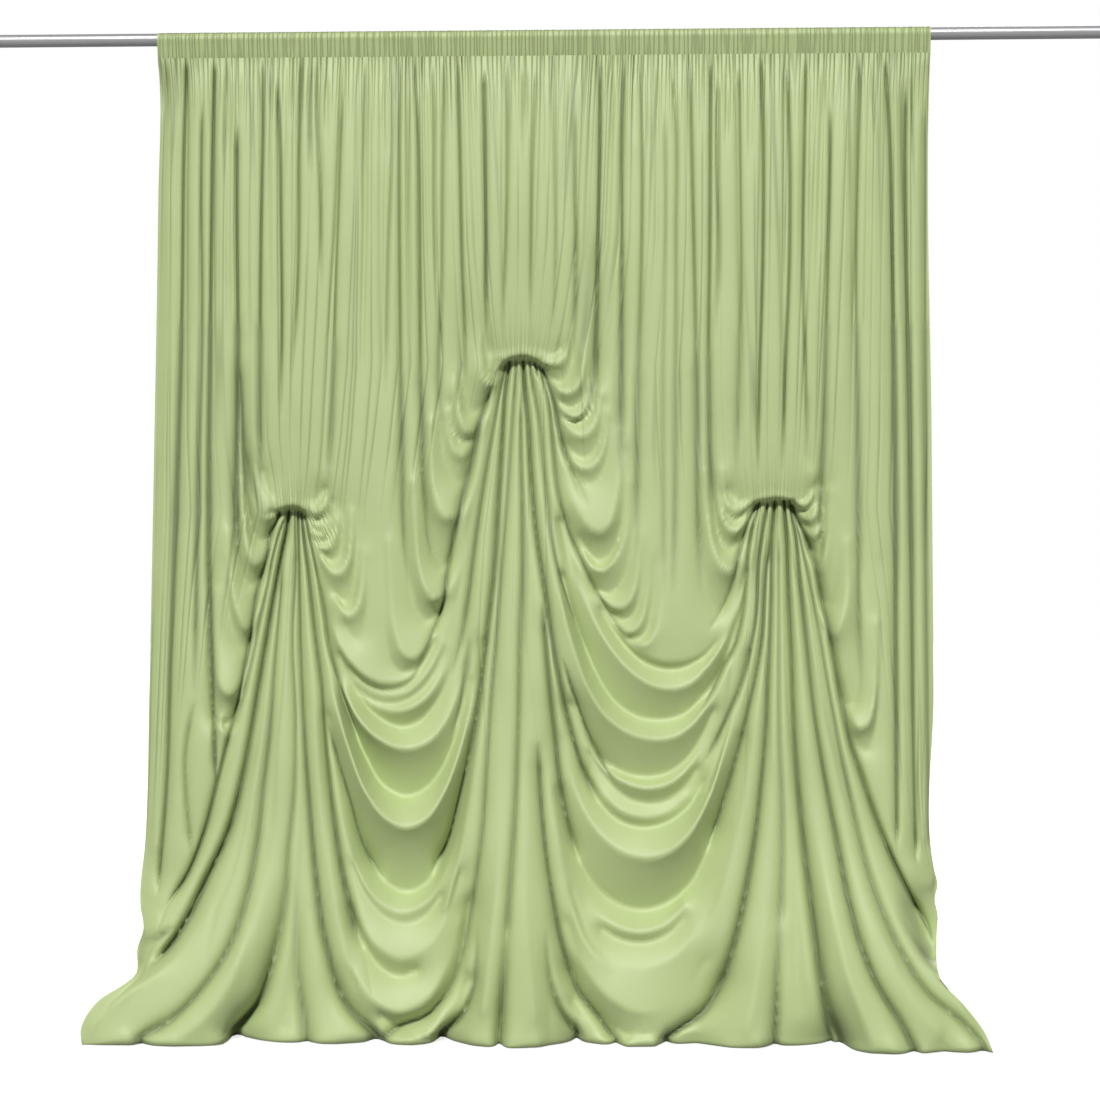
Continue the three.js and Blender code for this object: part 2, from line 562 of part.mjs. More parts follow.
function buildCloth() {
  const plans = columnPlans();
  const lines = plans.map(columnLine);
  const { front, back } = clothFaces(lines);
  const inner = [[0, SEAM_HEIGHT + CLOTH_THICKNESS], ...pocketSection(POCKET_RADIUS)];
  const outer = pocketSection(POCKET_RADIUS + CLOTH_THICKNESS / Math.cos(halfStep));
  const positions = [];
  const add = (x, y, z) => positions.push(x, y, z) / 3 - 1;
  const addPoint = (point) => add(point.x, point.y, point.z);
  const columns = plans.map((plan, column) => {
    const x = lines[column][0][0];
    return {
      front: front[column].map(addPoint),
      back: back[column].map(addPoint),
      outer: outer.map(([out, height]) => add(x, -out, height)),
      inner: inner.map(([out, height]) => add(x, -out, height)),
    };
  });

  // Front and back are split along the same diagonals, so that the cloth keeps its thickness
  const index = [];
  const quad = (a, b, c, d) => index.push(a, b, c, a, c, d);
  const outside = columns.map((c) => [...c.front.slice().reverse(), ...c.outer, ...c.back]);
  const backStart = columns[0].front.length + columns[0].outer.length;
  const inside = columns.map((c) => c.inner);
  for (let column = 0; column + 1 < columns.length; column++) {
    const [outLeft, outRight] = [outside[column], outside[column + 1]];
    const [inLeft, inRight] = [inside[column], inside[column + 1]];
    for (let row = 0; row < outLeft.length; row++) {
      const next = (row + 1) % outLeft.length;
      if (row < backStart) quad(outLeft[row], outRight[row], outRight[next], outLeft[next]);
      else quad(outRight[row], outRight[next], outLeft[next], outLeft[row]);
    }
    for (let row = 0; row < inLeft.length; row++) {
      const next = (row + 1) % inLeft.length;
      quad(inLeft[row], inLeft[next], inRight[next], inRight[row]);
    }
  }

  const closeEnd = (column, flip) => {
    const face = flip ? (a, b, c, d) => quad(d, c, b, a) : quad;
    for (let row = 0; row + 1 < column.front.length; row++) {
      face(column.front[row], column.back[row], column.back[row + 1], column.front[row + 1]);
    }
    const ring = [column.front[0], ...column.outer, column.back[0]];
    const hole = [...column.inner, column.inner[0]];
    for (let row = 0; row + 1 < ring.length; row++) {
      face(ring[row], ring[row + 1], hole[row + 1], hole[row]);
    }
    if (flip) index.push(column.back[0], column.inner[0], column.front[0]);
    else index.push(column.front[0], column.inner[0], column.back[0]);
  };
  closeEnd(columns[0], false);
  closeEnd(columns[columns.length - 1], true);

  const geometry = new THREE.BufferGeometry();
  geometry.setAttribute("position", new THREE.Float32BufferAttribute(positions, 3));
  geometry.setIndex(index);
  geometry.computeVertexNormals();
  return geometry;
}

function buildRod() {
  const geometry = new THREE.CylinderGeometry(ROD_RADIUS, ROD_RADIUS, ROD_LENGTH, ROD_SIDES);
  geometry.rotateZ(Math.PI / 2);
  geometry.translate(0, 0, ROD_HEIGHT);
  return geometry;
}

const clothMaterial = new THREE.MeshStandardMaterial({ color: 0xbacb95, roughness: 0.72, metalness: 0 });
const rodMaterial = new THREE.MeshStandardMaterial({ color: 0xc8cacc, roughness: 0.32, metalness: 1 });

const curtain = new THREE.Mesh(buildCloth(), clothMaterial);
curtain.name = "curtain";
const rod = new THREE.Mesh(buildRod(), rodMaterial);
rod.name = "rod";

// The origin goes on the floor under the middle of the whole object's box
const group = new THREE.Group();
group.add(curtain, rod);
const box = new THREE.Box3().setFromObject(group);
const middle = box.getCenter(new THREE.Vector3());
group.position.set(-middle.x, -middle.y, -box.min.z);

export default group;
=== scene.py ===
"""Spandex backdrop curtain, shirred on a rod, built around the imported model's frame."""
import math

import bpy
import numpy as np
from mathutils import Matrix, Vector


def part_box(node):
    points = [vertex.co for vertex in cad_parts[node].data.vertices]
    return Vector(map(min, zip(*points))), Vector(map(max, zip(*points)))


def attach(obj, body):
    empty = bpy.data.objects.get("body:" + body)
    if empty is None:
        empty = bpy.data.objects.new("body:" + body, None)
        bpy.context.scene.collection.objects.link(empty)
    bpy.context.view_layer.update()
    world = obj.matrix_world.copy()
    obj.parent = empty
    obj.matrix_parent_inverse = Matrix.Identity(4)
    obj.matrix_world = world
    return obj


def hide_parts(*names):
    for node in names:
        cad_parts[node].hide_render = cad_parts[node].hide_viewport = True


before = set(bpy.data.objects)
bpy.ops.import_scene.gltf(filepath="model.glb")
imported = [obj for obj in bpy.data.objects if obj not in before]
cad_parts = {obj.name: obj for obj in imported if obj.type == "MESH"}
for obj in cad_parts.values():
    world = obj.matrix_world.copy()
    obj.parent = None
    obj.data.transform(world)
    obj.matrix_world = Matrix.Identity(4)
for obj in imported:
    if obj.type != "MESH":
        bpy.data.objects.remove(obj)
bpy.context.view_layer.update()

# Sizes are in metres. The fold tables below count in units of 3 mm as seen from the camera:
# x runs right, y runs down, and stand-off comes towards the camera from the heading's plane.
UNIT = 0.003
MIDDLE_X = 544
SEAM_Y = 56
FLOOR_Y = 1038

# Camera, in units: width of its frame, and the eye's place and distance
FRAME_UNITS = 1100
EYE_X = 550
EYE_Y = 550
EYE_HEIGHT = 490
EYE_DISTANCE = 2333
VIEW_TURN = math.radians(2.18)
EYE_ACROSS = EYE_X - MIDDLE_X + EYE_DISTANCE * math.sin(VIEW_TURN)
TURN_SCALE = math.tan(VIEW_TURN) / EYE_DISTANCE
SENSOR_MM = 36.0
CAMERA_REACH = 60.0

# Floor and lights
FLOOR_SIDE = 30.0
KEY_STRENGTH = 3.25
KEY_SIZE_DEG = 9.0
KEY_PLACE = (-0.3, -4.7, 3.7)
BACK_STRENGTH = 1.5
BACK_SIZE_DEG = 40.0
BACK_PLACE = (1.2, 4.7, 1.7)

# Rod, and the pocket that is sewn round it
ROD_RADIUS = 0.019
SEAM_BELOW_ROD = 0.058
rod_low, rod_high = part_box("rod")
ROD_Y = (rod_low[1] + rod_high[1]) / 2
ROD_Z = (rod_low[2] + rod_high[2]) / 2
SEAM_Z = ROD_Z - SEAM_BELOW_ROD


def points(text):
    """Pairs of numbers from a text of x,y pairs."""
    return tuple(tuple(float(number) for number in pair.split(",")) for pair in text.split())


def with_paths(*rows):
    """Rows of a fold table: the points of each path, read from its text, then the fold's numbers."""
    return [(points(path), *numbers) for path, *numbers in rows]


# Side edges of the cloth: level,x
LEFT_EDGE = points("33,155 75,159 200,158 440,154 690,149 840,145 904,140 930,143 948,137 975,135 "
                   "984,124 1003,95 1029,80 1045,84")
RIGHT_EDGE = points("28,932 73,930 440,932 690,934 872,935 885,938 898,935 915,938 936,937 981,942 "
                    "1003,964 1026,986 1048,999")

# Pleats that fall from the heading: path, depth, half width
PLEATS = with_paths(
    ("187,60 184,150 182,300 177,490 171,650 166,790 158,895", 7.5, 7.0),
    ("167,60 166,90 165,130", 1.2, 3.0),
    ("202,100 201,200 202,300 199,450 196,600 194,700", 4.5, 5.5),
    ("194,700 185,760 188,820 193,858", 3.5, 4.0),
    ("215,60 213,140 211,280 209,460 210,620 213,705 216,788", 7.0, 4.0),
    ("227,57 225,110 223,190", 3.0, 3.0),
    ("237,120 237,240 238,330 237,440 237,530 240,565 247,581 256,584", 6.5, 2.8),
    ("238,350 242,420 245,470 249,512 255,533 263,541 270,536", 5.5, 2.6),
    ("244,430 251,475 257,500 264,514 271,518 279,513", 3.5, 2.4),
    ("263,57 263,120 261,240 260,380 260,440 263,485 270,500", 5.0, 2.6),
    ("271,57 270,90 273,130", 2.2, 2.6),
    ("277,80 280,140 281,220 282,320 280,420", 5.0, 3.0),
    ("301,57 299,150 299,230 297,300 291,380", 4.0, 3.0),
    ("311,60 310,110 312,190", 3.2, 3.2),
    ("316,57 317,120 320,180 321,300", 3.6, 3.2),
    ("342,90 339,180 336,270 333,380 330,450 327,505", 4.0, 2.6),
    ("366,57 364,130 362,220", 3.4, 3.0),
    ("393,60 392,150 388,260 386,400", 2.6, 4.0),
    ("400,57 399,150 400,300 402,460 405,550 412,600", 4.2, 3.6),
    ("414,57 418,130 420,260 421,400 425,500 434,558 442,572", 4.6, 3.2),
    ("432,60 434,120 434,210 437,330", 2.8, 3.6),
    ("445,57 443,150 442,280 439,400 443,455", 3.2, 4.0),
    ("458,57 460,150 462,260 465,350 464,400", 4.4, 3.0),
    ("484,70 485,140 486,240 487,330 490,360", 6.0, 3.4),
    ("508,57 508,120 506,240 503,320 503,345", 3.4, 3.8),
    ("523,60 523,110 524,170", 1.8, 3.4),
    ("536,70 533,140 531,240 531,340", 3.0, 3.8),
    ("554,57 555,150 556,260 553,340", 2.4, 4.0),
    ("575,100 575,180 576,260 573,340 566,375", 3.6, 3.2),
    ("600,57 600,130 598,240 596,340 592,395 584,413 574,418", 6.5, 2.8),
    ("612,60 612,110 611,160", 2.0, 3.2),
    ("624,50 622,120 622,240 621,400 620,480", 4.8, 3.2),
    ("640,57 642,120 642,240 638,400 636,560", 3.6, 3.2),
    ("665,110 666,200 663,400 665,600", 2.0, 4.0),
    ("670,57 676,120 676,240 676,420 674,600", 2.8, 4.0),
    ("690,57 691,110 694,240 697,400 698,520 702,600", 4.2, 3.6),
    ("711,57 710,240 709,400 711,470 716,520 722,545", 4.6, 2.8),
    ("717,80 717,170 719,250 716,340", 3.0, 3.2),
    ("739,70 740,170 741,280 738,420 736,490", 3.6, 3.0),
    ("761,55 763,120 763,260 759,400 758,480", 5.0, 3.0),
    ("787,65 789,120 790,240 785,380 782,480", 4.4, 3.4),
    ("806,57 804,150 803,260 806,380 808,470", 3.6, 3.2),
    ("830,100 830,160 828,260 824,420 821,540 824,575", 4.4, 3.0),
    ("860,57 858,150 856,260 858,420 859,600 861,700", 4.0, 5.0),
    ("873,57 873,90 876,140", 2.6, 3.0),
    ("885,57 890,140 892,240 895,440 896,640 897,850", 6.5, 4.0),
    ("906,80 905,150 906,240 909,400 912,600 914,760 916,865", 7.0, 6.0),
    ("911,75 913,140 915,200", 2.4, 2.6),
    ("926,100 926,300 927,600 930,850", 3.0, 4.0),
)

# Creases of the three fans and of the cloth between them: path, depth, half width
CREASES = with_paths(
    # left fan
    ("280,511 277,520 271,532 268,553 260,580 254,612 248,650 239,695 230,732 218,778 204,832 186,876 "
     "166,906", 6.0, 3.0),
    ("284,520 276,545 267,590 256,640 246,684 238,716", 3.5, 2.2),
    ("289,509 287,528 282,552 275,590 268,632 260,680 252,728 242,780 228,832 206,880 186,921 166,950 "
     "148,968", 9.5, 3.4),
    ("283,560 279,610 275,660 270,730 263,790 257,845 246,900 230,945 205,985 172,1018 148,1032", 4.5, 5.0),
    ("295,508 296,560 293,640 296,720 294,800 289,850 286,900 277,945 265,985 248,1018", 3.0, 3.0),
    ("287,870 281,925 271,965 259,1000 247,1019", 13.0, 6.5),
    ("298,510 299,570 301,660 304,730 309,800 315,870 326,945 345,1002 368,1032", 5.5, 4.5),
    ("301,511 304,540 308,570 314,625 321,680 326,745 333,810 344,880 362,950", 7.0, 4.0),
    ("304,514 309,538 314,560 322,600 330,650 337,675 347,706 361,743", 4.5, 2.4),
    ("327,720 338,760 350,800 364,846 384,880", 6.0, 6.0),
    ("296,870 297,930 299,980 304,1020", 4.0, 2.4),
    ("336,960 341,990 352,1013 372,1033", 6.0, 5.0),
    # middle fan
    ("497,370 489,395 480,422 473,455 463,498 454,536 448,568 443,603 430,640 415,672", 5.5, 2.8),
    ("506,364 497,410 489,455 480,510 473,560 467,605 460,645 450,682", 5.0, 4.0),
    ("510,360 505,396 503,430 499,500 494,575 488,625 482,675 476,718 468,757 459,797 447,842 430,874",
     7.5, 3.6),
    ("470,635 466,670 460,706 451,738", 3.5, 2.2),
    ("516,359 515,385 509,470 502,560 496,640 491,700 487,765 483,825 477,872 470,915 460,960 448,992 "
     "428,1014 400,1024", 4.0, 4.6),
    ("521,390 521,440 523,560 520,650 518,740 515,820 510,890 506,950", 4.0, 2.6),
    ("509,895 507,930 505,960 502,1000", 9.0, 4.5),
    ("523,359 525,390 528,420 531,470 538,545 546,598 553,647 562,692 571,730 583,769 600,803", 7.5, 2.8),
    ("542,600 546,650 550,695 555,738 560,782 568,822 580,862", 7.0, 3.6),
    ("562,656 569,680 578,706 589,735 602,761 615,784", 5.5, 2.4),
    ("538,364 545,386 550,412 553,447 558,492 567,527 579,556 591,581 604,604 622,632 640,650", 4.5, 2.6),
    ("529,359 532,380 539,420 545,480 551,530 560,575 572,612 584,642 597,671", 4.0, 3.4),
    ("541,367 547,381 553,400 559,430 566,456 576,480 588,508", 6.5, 2.4),
    ("533,361 537,370 538,380", 5.0, 2.0),
    ("538,740 541,800 546,852 553,900 563,948 578,990 600,1018", 6.0, 5.5),
    ("545,925 548,960 553,990 561,1011 572,1030", 5.5, 2.4),
    ("477,925 476,960 473,990 463,1013 449,1029", 7.5, 3.4),
    # right fan
    ("758,503 751,517 745,532 741,545 735,575 724,606 708,632", 5.0, 2.6),
    ("760,501 756,515 750,540 746,585 741,622 733,650 722,668 712,690 700,712", 4.5, 2.4),
    ("768,502 764,525 759,560 756,620 748,660 739,690 728,715 716,741 704,765", 5.0, 2.8),
    ("771,532 766,580 762,640 755,680 748,710 740,743 732,772 721,808 706,850", 7.0, 5.0),
    ("775,500 774,512 772,532 771,600 768,680 765,740 761,785 755,838 748,880 741,915 732,950 720,984 "
     "702,1012 676,1030", 7.0, 4.4),
    ("778,530 779,620 780,740 783,830 782,890 780,935", 3.0, 3.0),
    ("781,900 779,950 777,985 776,1015", 5.0, 3.5),
    ("784,499 785,515 787,545 788,580 791,650 795,750 799,800 806,865 813,920 819,965 826,1008", 7.5, 3.2),
    ("820,970 827,1000 835,1022", 8.0, 7.0),
    ("789,499 792,514 796,537 799,570 806,640 816,725 826,785 837,842 848,898 862,948 880,990 902,1021",
     6.0, 3.8),
    ("793,510 806,565 818,625 831,700 844,768 857,828 869,874 885,918 904,957 929,994 960,1018", 4.2, 4.2),
    ("791,503 797,518 804,533 811,552 822,600 833,655 842,705 850,742 861,775 876,819 891,855 907,888 "
     "920,912 934,944", 8.0, 3.0),
    # loose side panels
    ("138,943 148,940 160,936 172,926", 4.0, 3.0),
    ("893,893 905,922 920,948 938,973", 3.0, 2.2),
)

# Lines that the cloth hangs on, ridges and hollows alike: path, then how far the cloth stands off
# the heading's plane at the line's start, middle and end
LINES = with_paths(
    # heading and loose edges
    ("155,62 340,60 544,60 740,60 932,60", 0, 0, 0),
    ("156,62 157,120 157,300 154,500 149,700 144,850 140,905 137,965", -7, -9, -8),
    ("170,120 170,400 164,650 156,850", 0, 0, 2),
    ("931,60 930,120 931,400 934,700 936,900 938,960", -6, -8, -12),
    ("918,120 921,500 925,840", 1, 1, 1),
    ("912,905 922,930 932,960", -8, -10, -8),
    # left gather
    ("262,470 268,490 279,499 291,496 303,499 316,502 326,488", 2, 7, 3),
    ("268,516 276,510 284,506 294,505 302,508 311,515", 5, 8, 5),
    ("278,515 283,511 290,510 296,509 300,511 305,516", -3, -3, -3),
    ("277,519 284,514 291,512 298,513 306,519", 0, 1, 0),
    ("284,520 270,575 250,662 234,742 210,817 184,872 160,915", 0, 7, 4),
    ("286,520 274,625 261,722 249,792 232,850 206,913 168,965 118,1001 90,1026", 0, 13, 40),
    ("290,522 285,640 280,720 274,800 262,880 240,958 212,1010 180,1036", 0, 14, 50),
    ("296,560 299,700 301,800 300,900 292,980 284,1030", -1, 11, 20),
    ("301,530 309,620 314,700 319,780 328,860 341,930 356,985", 0, 13, 26),
    # cloth between the left and middle gathers
    ("320,565 331,622 346,657 366,677 387,684 404,680 420,663 433,640 440,620", 2, 19, 4),
    ("350,668 366,683 386,690 404,687 421,671 434,649", 5, 8, 5),
    ("356,681 370,692 386,696 403,694 421,680 435,659 442,642", 7, 13, 6),
    ("358,688 372,699 389,704 407,700 424,687 437,667 445,650", 4, 8, 4),
    ("352,690 368,703 384,709 396,711 411,708 427,697 440,678 449,655", 5, 17, 5),
    ("340,654 352,683 366,705 383,720 400,727 418,722 434,705 447,680 457,648", 5, 2, 5),
    ("318,590 328,640 342,690 360,722 380,740 405,749 428,742 446,721 459,690 468,645", 2, 27, 4),
    ("325,630 336,672 352,722 366,757 384,786 405,796 425,789 440,772 452,746 462,715 471,680", 3, -8, 4),
    ("316,590 326,650 335,700 349,750 367,795 386,819 405,828 425,820 442,796 456,762 466,728 476,690 "
     "484,640", 4, 31, 5),
    ("328,715 340,765 352,807 367,852 386,882 408,892 428,882 445,850 457,808 467,765 474,730 481,690",
     8, -10, 8),
    ("330,780 345,835 358,873 378,902 402,913 425,903 446,870 460,830", 10, 14, 10),
    ("352,862 368,897 388,918 408,923 425,916 442,895", 8, 11, 8),
    ("340,860 356,912 378,948 403,960 427,948 447,915 462,870", 16, 26, 14),
    ("350,905 365,945 382,968 400,976 418,970", 14, 14, 14),
    ("335,900 350,965 372,1000 398,1012 425,1002 445,970 460,920", 22, 36, 16),
    ("380,1016 398,1025 418,1021 436,1007 450,983 461,948 469,900", 20, 18, 8),
    ("340,985 358,1016 382,1034 411,1039 437,1032 456,1010 469,978", 22, 34, 14),
    # middle gather
    ("482,345 492,352 506,349 522,345 540,349 555,354 566,345", 3, 7, 3),
    ("496,371 504,361 514,356 526,355 536,359 546,365 556,367", 5, 8, 5),
    ("501,370 506,364 511,360 519,359 528,359 535,362 544,370", -3, -3, -3),
    ("501,376 508,367 522,362 536,366 547,376", 0, 1, 0),
    ("500,382 486,440 471,515 459,588 448,640", 0, 5, 4),
    ("505,400 497,500 491,600 485,680 478,742 469,802 458,862 445,910", 1, 11, 20),
    ("514,372 511,500 508,600 505,700 502,800 497,880 490,950 483,1012", 0, 14, 40),
    ("526,376 528,500 531,600 532,700 529,800 527,900 529,960 534,1020", 0, 14, 42),
    ("546,740 551,790 558,840 570,900 587,945 612,975", 12, 20, 28),
    # cloth between the middle and right gathers
    ("604,605 620,632 638,650 656,659 680,661 702,654 718,636", 6, 15, 6),
    ("600,610 622,642 643,662 663,669 682,668 700,658 716,642", 3, 5, 3),
    ("560,520 569,560 588,607 610,647 632,672 652,685 671,689 690,684 706,668 722,645 735,612 747,570",
     0, 23, 1),
    ("562,574 568,595 581,637 597,675 616,703 638,717 657,720 680,716 700,700 714,680 727,652 739,615 "
     "750,570", 2, 1, 2),
    ("535,380 545,460 552,530 562,600 576,655 590,692 606,716 628,732 652,739 674,737 692,725 707,706 "
     "722,678 737,640 749,590 758,540", 0, 26, 1),
    ("571,703 580,724 592,744 610,765 630,775 648,777 668,773 688,757 702,735 714,710", 6, 0, 4),
    ("585,742 602,767 625,782 647,788 670,783 690,766 704,744", 6, 17, 6),
    ("590,752 614,787 630,799 648,803 666,800 682,789 698,768", 1, 4, 1),
    ("590,774 606,798 625,813 646,818 668,813 688,796", 5, 13, 5),
    ("583,769 600,803 622,822 646,827 668,822 690,806 704,782", 0, 4, 1),
    ("561,738 571,776 585,812 605,839 627,854 646,858 668,853 688,836 703,811 715,780 726,742 738,700 "
     "750,650", 8, 31, 4),
    ("558,790 568,826 581,864 602,893 625,907 645,910 668,903 690,884 706,853 720,812 732,770 742,735",
     6, -8, 6),
    ("585,900 610,924 640,933 664,926 686,903", 10, 19, 10),
    ("600,928 620,939 645,942 667,935 686,917", 8, 10, 8),
    ("572,890 592,940 614,961 640,968 672,958 700,925 720,880", 15, 26, 14),
    ("566,920 586,970 612,1000 645,1012 682,996 708,958", 20, 35, 18),
    ("568,965 584,998 602,1018 626,1030 652,1033", 14, 20, 27),
    ("572,1000 592,1028 618,1040 655,1039 686,1028 708,1005 724,976", 14, 32, 12),
    # right gather
    ("728,490 738,502 752,497 775,490 795,495 806,498 814,485", 3, 7, 3),
    ("746,510 756,501 768,498 780,497 789,499 799,507", 5, 8, 5),
    ("753,509 760,503 768,502 776,501 786,502 791,505 797,512", -3, -3, -3),
    ("752,515 760,507 775,504 788,507 798,516", 0, 1, 0),
    ("762,518 749,570 737,612 722,642 704,662", 0, 5, 6),
    ("768,518 758,600 749,660 736,710 721,752 708,790", 0, 9, 9),
    ("770,522 767,620 760,705 751,765 741,820 727,880 708,930 688,962", 0, 13, 22),
    ("775,522 774,640 772,740 772,820 768,890 762,950 753,1003 746,1030", 0, 15, 36),
    ("784,560 788,700 791,800 794,880 797,950 800,1018", 0, 13, 26),
    ("786,522 795,600 804,700 812,780 823,860 837,930 853,990 872,1033", 0, 16, 60),
    ("791,520 804,590 818,670 831,745 845,810 860,870 880,930 906,985 940,1030", 0, 15, 54),
    ("796,518 812,580 828,650 842,720 856,780 873,838 892,888 914,936 941,980 970,1011 994,1038", 0, 12, 42),
)

# Pouches of cloth that hang in the crooks beside the fans, ridges and hollows alike: path from the
# outer pleat round the pouch's foot to the fan, then stand-off from the broad shape on the pleat,
# at the foot and at the fan
DROPS = with_paths(
    # left gather, left side
    ("255,470 257,498 262,511 269,518 276,514", 1.0, 6.0, 3.0),
    ("244,440 246,500 249,520 253,536 259,541 266,540 271,532", -2.0, -4.0, -2.0),
    ("243,480 244,520 246,545 250,559 256,565 263,560 268,546", 0.5, 5.0, 2.0),
    ("237,440 237,530 239,560 242,575 248,585 255,583 262,570", -2.0, -4.5, -2.0),
    ("229,530 232,590 238,615 247,629 252,623 256,608", 1.0, 5.5, 2.0),
    ("225,560 228,600 233,628 240,646 245,648 251,634", -0.5, -4.0, -1.7),
    ("213,590 214,650 217,678 222,690 229,695 237,688 244,668", 1.5, 7.0, 2.0),
    ("208,500 209,600 211,660 213,700 217,720 224,725 232,718 240,700", -2.0, -6.0, -2.0),
    ("219,718 222,730 229,736 236,728", 0.0, 2.5, 1.0),
    # left gather, right side
    ("328,470 327,495 322,510 313,515 305,512", 2.0, 6.0, 3.0),
    ("331,500 329,513 323,519 316,519 309,516", -1.0, -2.5, -2.0),
    ("331,505 327,522 320,529 314,524", 0.5, 2.5, 1.0),
    ("332,512 329,527 322,532 313,528", -1.0, -2.0, -2.0),
    ("332,520 327,533 319,537 312,532", 0.5, 3.0, 1.0),
    ("335,512 333,533 326,541 318,542 312,537", -1.0, -3.0, -2.0),
    ("337,515 335,536 331,544 325,549 319,545", 0.5, 4.0, 1.0),
    ("342,505 341,540 337,559 330,561 322,552", -1.0, -4.0, -1.7),
    ("352,510 351,545 347,564 338,575 329,570 322,559", 1.0, 5.5, 2.0),
    ("356,505 355,560 352,590 346,604 340,600 333,588", -1.0, -4.5, -1.7),
    ("363,550 361,590 356,610 349,617 341,609 336,600", 0.5, 4.0, 1.5),
    ("368,560 366,612 362,634 356,641 350,634 344,624", -0.5, -3.5, -2.0),
    # middle gather, left side
    ("487,354 488,366 491,374 496,374", -0.5, -1.0, 0.0),
    ("481,345 482,370 484,380 489,386 495,383", 1.0, 6.0, 3.0),
    ("463,300 463,390 466,406 472,412 479,409 485,400", -2.0, -3.5, -1.0),
    ("457,380 459,415 462,427 467,433 473,430 481,418", 1.0, 5.0, 2.0),
    ("451,400 453,428 457,438 464,443 471,439", -0.5, -2.5, -2.0),
    ("447,410 450,440 455,453 461,457 468,450", 0.5, 2.5, 1.0),
    ("444,420 447,450 454,464 461,469 468,463 474,453", -0.5, -2.0, -2.0),
    ("438,300 439,400 441,440 445,463 451,477 459,482 466,476 472,464", -1.5, -3.5, -1.7),
    ("430,420 431,470 435,500 441,514 448,519 456,515 463,504", 1.5, 7.5, 2.0),
    ("421,340 422,420 424,470 427,510 431,540 436,558 442,567 449,559 455,544", -2.0, -6.0, -2.0),
    ("413,480 416,540 420,572 426,591 433,600 441,597 448,582", 1.5, 7.0, 2.0),
    ("401,340 402,440 405,500 408,550 412,590 418,612 427,621 437,614 445,599", -2.0, -5.0, -2.0),
    ("388,540 391,600 396,636 404,655 413,659 424,650 434,634", 1.0, 6.0, 2.0),
    ("384,480 384,580 387,640 393,665 402,673 413,671 425,659 435,641", -0.5, -3.5, -2.0),
    # middle gather, right side
    ("568,340 565,356 559,364 552,366 545,363", 1.0, 5.0, 3.0),
    ("573,345 571,365 565,379 557,383 549,376", -1.0, -3.5, -1.7),
    ("584,360 580,383 574,391 567,394 560,390 554,382", 1.0, 5.0, 2.0),
    ("588,370 584,395 577,405 568,408 561,402", -0.5, -3.0, -2.0),
    ("592,380 588,407 580,416 572,417 564,411 558,403", 0.5, 3.5, 1.5),
    ("596,300 595,360 593,390 590,406 584,417 577,422 569,422 562,416", -2.5, -4.5, -2.0),
    ("599,390 597,418 590,432 581,437 572,432 565,421", 1.0, 4.0, 1.5),
    ("603,400 600,440 592,455 582,459 573,452 567,443", -0.5, -3.5, -2.0),
    ("606,410 603,448 596,463 586,469 577,466 572,456", 0.5, 3.0, 1.0),
    ("610,420 606,460 598,478 589,484 581,480 576,470", -0.5, -2.5, -1.7),
    ("621,430 620,480 615,508 609,525 600,533 590,529 580,515 572,498", 1.5, 7.5, 2.0),
    ("624,450 624,500 621,530 615,549 606,560 599,562 590,554 580,537", -0.5, -5.0, -1.7),
    ("629,480 626,530 620,547 612,562 601,571 592,567 583,554", 0.5, 4.5, 1.5),
    ("632,490 630,550 624,576 616,589 606,594 598,591 590,579", -0.5, -5.0, -1.7),
    ("640,530 638,570 634,592 628,604 618,609 608,604 600,594", 0.5, 4.5, 1.5),
    ("644,550 641,590 637,608 630,618 621,620 612,611", -0.5, -3.0, -2.0),
    ("650,550 646,600 641,622 634,631 627,633 618,625", 0.5, 4.0, 1.5),
    ("655,560 651,610 645,633 637,640 628,637", -0.5, -2.5, -1.7),
    ("664,570 660,615 654,636 645,646 636,643", 0.5, 4.0, 1.5),
    # right gather, left side
    ("724,470 725,498 729,508 736,512 744,508 752,502", 0.5, 4.0, 2.0),
    ("721,490 725,514 735,521 744,514", -0.5, -2.5, -2.0),
    ("719,470 721,504 725,522 730,530 735,533 741,528 748,517", 1.0, 5.0, 2.0),
    ("710,420 713,500 717,526 722,543 730,549 738,542 743,531", -2.0, -4.5, -2.0),
    ("706,470 709,520 713,544 718,561 724,571 729,573 736,565 742,551", 1.0, 6.5, 2.0),
    ("700,460 702,540 706,580 712,602 720,613 727,605 734,588", -1.0, -5.0, -1.7),
    # right gather, right side
    ("813,470 811,497 804,507 797,503", 0.5, 4.0, 2.0),
    ("817,480 814,503 806,511 799,508", -0.5, -2.5, -2.0),
    ("820,490 817,514 808,520 800,514", 0.5, 3.0, 1.5),
    ("821,500 818,525 810,529 803,522", -0.5, -2.0, -2.0),
    ("822,510 819,533 812,537 805,529", 0.0, 2.0, 1.0),
    ("824,420 823,510 822,535 820,548 815,553 809,548 804,537", -2.0, -5.0, -2.0),
    ("829,490 827,540 824,560 819,571 814,563", 0.5, 3.0, 1.0),
    ("835,500 834,560 832,590 828,603 823,600 819,589", -0.5, -4.0, -1.7),
    ("848,540 847,600 842,622 834,635 827,628 822,614", 1.0, 6.5, 2.0),
    ("858,540 858,640 856,680 851,705 846,703 838,680", -1.0, -5.0, -1.7),
    ("878,620 877,680 873,712 867,726 860,729 853,717", 1.0, 5.5, 2.0),
    ("880,560 880,650 878,700 874,733 867,751 861,748 856,737", -2.0, -4.5, -1.7),
    # corners of the side panels
    ("934,850 935,872 932,884 924,883 914,874 905,862", 0.5, 4.0, 1.0),
    ("140,900 142,925 148,935 158,932 168,922", 0.5, 4.0, 1.0),
)

